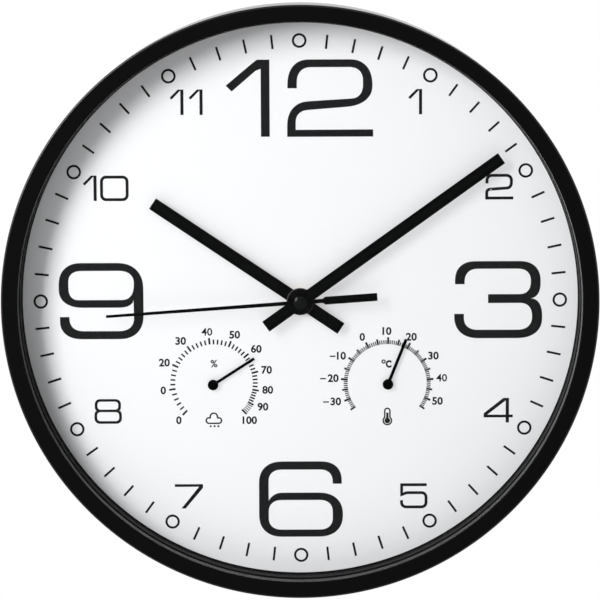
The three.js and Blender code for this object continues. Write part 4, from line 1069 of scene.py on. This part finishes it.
cell, cell_z, cell_depth = 7.1, -18.95, 9.8
sleeve_end, nub_end = 23.95, 25.25
line_start, line_end, band_start = 9.6, 10.4, 12
battery_profile = rounded([
    (0, -25.15), (5.6, -25.15, 0.3), (5.8, -24.9), (6.5, -24.9), (6.6, -nub_end, 0.15),
    (cell, -nub_end, 0.7), (cell, line_start), (cell, line_end), (cell, band_start),
    (cell, sleeve_end, 0.7), (6.4, sleeve_end, 0.15), (6.3, 23.6), (3.3, 23.6),
    (2.7, nub_end, 0.45), (0, nub_end),
], steps=5)
battery_blank = Blank().lathe(battery_profile, 0, cell_z, cell_depth, 96, "x")


def battery_parts(x, z, depth):
    """Sleeve, a line and a band towards the plus end, and bare metal at both ends."""
    if hypot(z - cell_z, depth - cell_depth) < 6.45:
        return 2
    return int(x > band_start or line_start < x < line_end)


battery_finishes = [jacket, jacket_band, nickel]
piece("battery_cell", battery_blank, battery_finishes, "battery", mark=battery_parts)

# Gauge cups and their caps

cup_outer, cup_inner, flange, nose, arbor_room = 18, 16.6, 19.6, 2.6, 0.75
cup_rear, floor_rear, floor_front, nose_front = 10.1, 18.7, 20.1, 22.6
cup_profile = rounded([
    (arbor_room, floor_rear), (cup_inner, floor_rear, 0.5), (cup_inner, cup_rear, 0.15),
    (cup_outer, cup_rear, 0.15), (cup_outer, floor_rear, 0.2), (flange, floor_rear, 0.25),
    (flange, floor_front, 0.25), (nose, floor_front, 0.2), (nose, nose_front, 0.2),
    (arbor_room, nose_front, 0.15),
], steps=3)
lid_rear, groove, lid_front = 8.4, 8.75, 9.8
lid_profile = rounded([
    (0, lid_rear), (2.2, lid_rear, 0.3), (2.6, groove, 0.3), (5, groove, 0.3),
    (5.4, lid_rear, 0.3), (cup_outer, lid_rear, 0.4), (cup_outer, lid_front, 0.2),
    (0, lid_front),
], steps=4)
vent = rounded_box(-1, 6.3, 1, 13.5, 0.95)
vent_count = 8
for (x, z), name in zip(gauge_spots, gauges):
    cup = Blank().lathe(cup_profile, x, z, sides=120)
    piece(f"{name}_cup", cup, cup_black, f"{name}_housing")
    lid = Blank().lathe(lid_profile, x, z, sides=120)
    vents = []
    for i in range(vent_count):
        outline = moved(turned_by(vent, 360 / vent_count * i), x, z)
        vents.append(Blank().slab([outline], lid_rear - 0.4, lid_front + 0.4))
    lid = merged(lid, cuts=vents)
    piece(f"{name}_vented_cap", lid, cup_black, f"{name}_rear_cap", edge=0.1)

# Nut, bush and washers on the shaft

nut_rear, nut_front, nut_width = 25, 27, 11
chamfers = [
    Blank().lathe([(5.5, face), (7, face), (7, inside)])
    for face, inside in ((nut_rear - 0.05, nut_rear + 0.65), (nut_front + 0.05, nut_front - 0.65))
]
nut = Blank().slab([circle(nut_width / sqrt(3), sides=6)], nut_rear, nut_front)
nut = merged(nut, cuts=[drum(4.15, 24, 28, sides=64), *chamfers])
piece("dial_nut", nut, brass, "hex_nut", edge=0.06)
bush_bore, bush_radius, bush_head = 2.8, 4, 5.4
bush = Blank().lathe(rounded([
    (bush_bore, 16.1, 0.1), (bush_head, 16.1, 0.2), (bush_head, 16.9, 0.2), (bush_radius, 16.9),
    (bush_radius, 27.1, 0.3), (bush_bore, 27.1, 0.15),
]), sides=64)
piece("centre_bush", bush, brass, "threaded_bush")


def washer(name, node, made, outer, rear, front):
    profile = turned_ring(bush_hole, outer, rear, front, (0.15,) * 4, 4)
    piece(name, Blank().lathe(profile, sides=72), made, node)


washer("cushion_washer", "rubber_washer", rubber, 9, 19.1, 20.1)
washer("dial_washer", "flat_washer", brass, 6.1, dial_stop, 24.7)

# Toothed and stamped pieces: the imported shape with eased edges

for node, name in (
    ("intermediate_wheel", "intermediate_gears"), ("third_wheel", "third_gears"),
    ("second_wheel", "second_gears"), ("centre_wheel", "centre_gear"),
    ("minute_wheel", "minute_gears"), ("hour_wheel", "hour_gear"),
):
    dressed(name, node, nylon, 0.03)
for node, name, made, edge in (
    ("cannon_pinion", "cannon_gear", brass, 0.03),
    ("rotor", "rotor_magnet", magnet, 0.05),
    ("stator", "stator_sheet", iron, 0.08),
    ("coil_core", "core_bar", iron, 0.08),
    ("coil_bobbin", "bobbin_spool", nylon, 0.1),
    ("train_plate", "train_bridge", case_black, 0.12),
    ("circuit_board", "board_and_chip", board, 0.05),
    ("quartz_crystal", "crystal_can", nickel, 0.15),
    ("contact_plus", "plus_contact", nickel, 0.05),
    ("contact_minus", "minus_contact", nickel, 0.05),
    ("hygrometer_coil", "moisture_coil", moisture_strip, 0.04),
    ("hygrometer_arbor", "hygrometer_pin", brass, 0.06),
    ("thermometer_coil", "bimetal_coil", bimetal, 0.04),
    ("thermometer_arbor", "thermometer_pin", brass, 0.06),
):
    dressed(name, node, made, edge)

winding = Seat("coil_winding")
turns, turn_steps, wire_relief, winding_bore = 24, 4, 0.16, 1.85
bottom, top = winding.z - winding.half_height, winding.z + winding.half_height
pitch = 2 * winding.half_height / turns
wire = [(winding_bore, bottom)]
for i in range(turns):
    for step in range(turn_steps):
        share = step / turn_steps
        swell = winding.half_width - wire_relief * (1 - sin(pi * share))
        wire.append((swell, bottom + (i + share) * pitch))
wire.append((winding_bore, top))
coil = Blank().lathe(wire, winding.x, 0, (winding.rear + winding.front) / 2, 48, "z")
piece("copper_turns", coil, copper, "coil_winding", smooth=60)

# Floor, light and camera

focus = place(0, 0, 24)
AMBIENT = 0.275  # light from all round, as a share of white

world = bpy.data.worlds.new("studio")
scene.world = world
world.use_nodes = True
sky = Shop(world.node_tree)
strength = AMBIENT + sky.in_sight() * (1 - AMBIENT)
light = sky.node("ShaderNodeBackground", {"Color": (1, 1, 1, 1), "Strength": strength})
sky.end(light, "ShaderNodeOutputWorld")

FLOOR_HEIGHT, FLOOR_HALF = -0.75, 1.8
FADE_START, FADE_END = 0.7, 1.7  # from the middle of the floor
SHADOW_SHARE = 0.28  # how far the shadow shows to the camera


def floor_finish():
    """A pale floor that the camera sees as white but for its shadow, and that fades outward."""
    made, shop = new_finish("pale_floor")
    grain = shop.grain(300)
    sockets = {
        "Base Color": shop.blend(grain, (0.8, 0.8, 0.8), (0.84, 0.84, 0.84)),
        "Roughness": 0.7 + grain * 0.1,
    }
    matt = shop.surface(sockets)
    white = shop.node("ShaderNodeEmission", {"Color": (1, 1, 1, 1), "Strength": 1.0})
    away = shop.node("ShaderNodeVectorMath", {0: shop.spot()}, "Value", operation="LENGTH")
    fade = {"Value": away, "From Min": FADE_START, "From Max": FADE_END}
    edge = shop.node("ShaderNodeMapRange", fade)
    share = shop.in_sight() * (1 - SHADOW_SHARE + edge * SHADOW_SHARE)
    shop.end(shop.node("ShaderNodeMixShader", {0: share, 1: matt, 2: white}))
    return made


floor_mesh = bpy.data.meshes.new("floor")
corners = [(x, y, 0) for x, y in box(-FLOOR_HALF, -FLOOR_HALF, FLOOR_HALF, FLOOR_HALF)]
floor_mesh.from_pydata(corners, [], [(0, 1, 2, 3)])
floor_mesh.materials.append(floor_finish())
floor = new_object("floor", floor_mesh)
floor.location.z = FLOOR_HEIGHT


def lamp(name, direction, distance, width, height, power):
    """An upright soft box that faces the clock."""
    data = bpy.data.lights.new(name, "AREA")
    data.shape = "RECTANGLE"
    data.size, data.size_y = width, height
    data.energy = power
    made = new_object(name, data)
    made.location = focus + Vector(direction).normalized() * distance
    made.rotation_euler = (made.location - focus).to_track_quat("Z", "Y").to_euler()
    return made


# The photograph's hands throw only a trace of shadow, so most of the key light passes them by

key_box = {"direction": (-0.91, -1, 0.555), "distance": 1.8, "width": 0.59, "height": 1.17}
key_power, trace_share = 33, 0.32
lamp("trace_light", **key_box, power=key_power * trace_share)
key_light = lamp("key_light", **key_box, power=key_power * (1 - trace_share))
passed_by = bpy.data.collections.new("passed_by")
hands = ["hour_bar", "minute_bar", "second_needle", "hand_cap"]
for name in (*hands, "hygrometer_needle", "thermometer_needle"):
    passed_by.objects.link(bpy.data.objects[name])
for row in passed_by.collection_objects:
    row.light_linking.link_state = "EXCLUDE"
key_light.light_linking.blocker_collection = passed_by
lamp("back_light", (0.7, 1, 0.7), 1.8, 0.8, 0.8, 16)

# The camera stands where the photograph's did: the angles and shifts are fitted to its circles

camera_data = bpy.data.cameras.new("camera")
camera_data.sensor_width = 36
camera_data.lens = 186.87
camera_data.shift_x, camera_data.shift_y = -0.000334, 0.000925
camera = new_object("camera", camera_data)
camera_distance = 1.577
azimuth, elevation, roll = (radians(angle) for angle in (0.1335, 7.772, -0.2285))
toward = Vector((
    sin(azimuth) * cos(elevation),
    -cos(azimuth) * cos(elevation),
    sin(elevation),
))
camera.location = focus + toward * camera_distance
camera.rotation_mode = "QUATERNION"
upright = toward.to_track_quat("Z", "Y")
camera.rotation_quaternion = Quaternion(toward, roll) @ upright
scene.camera = camera

scene.view_settings.view_transform = "Standard"
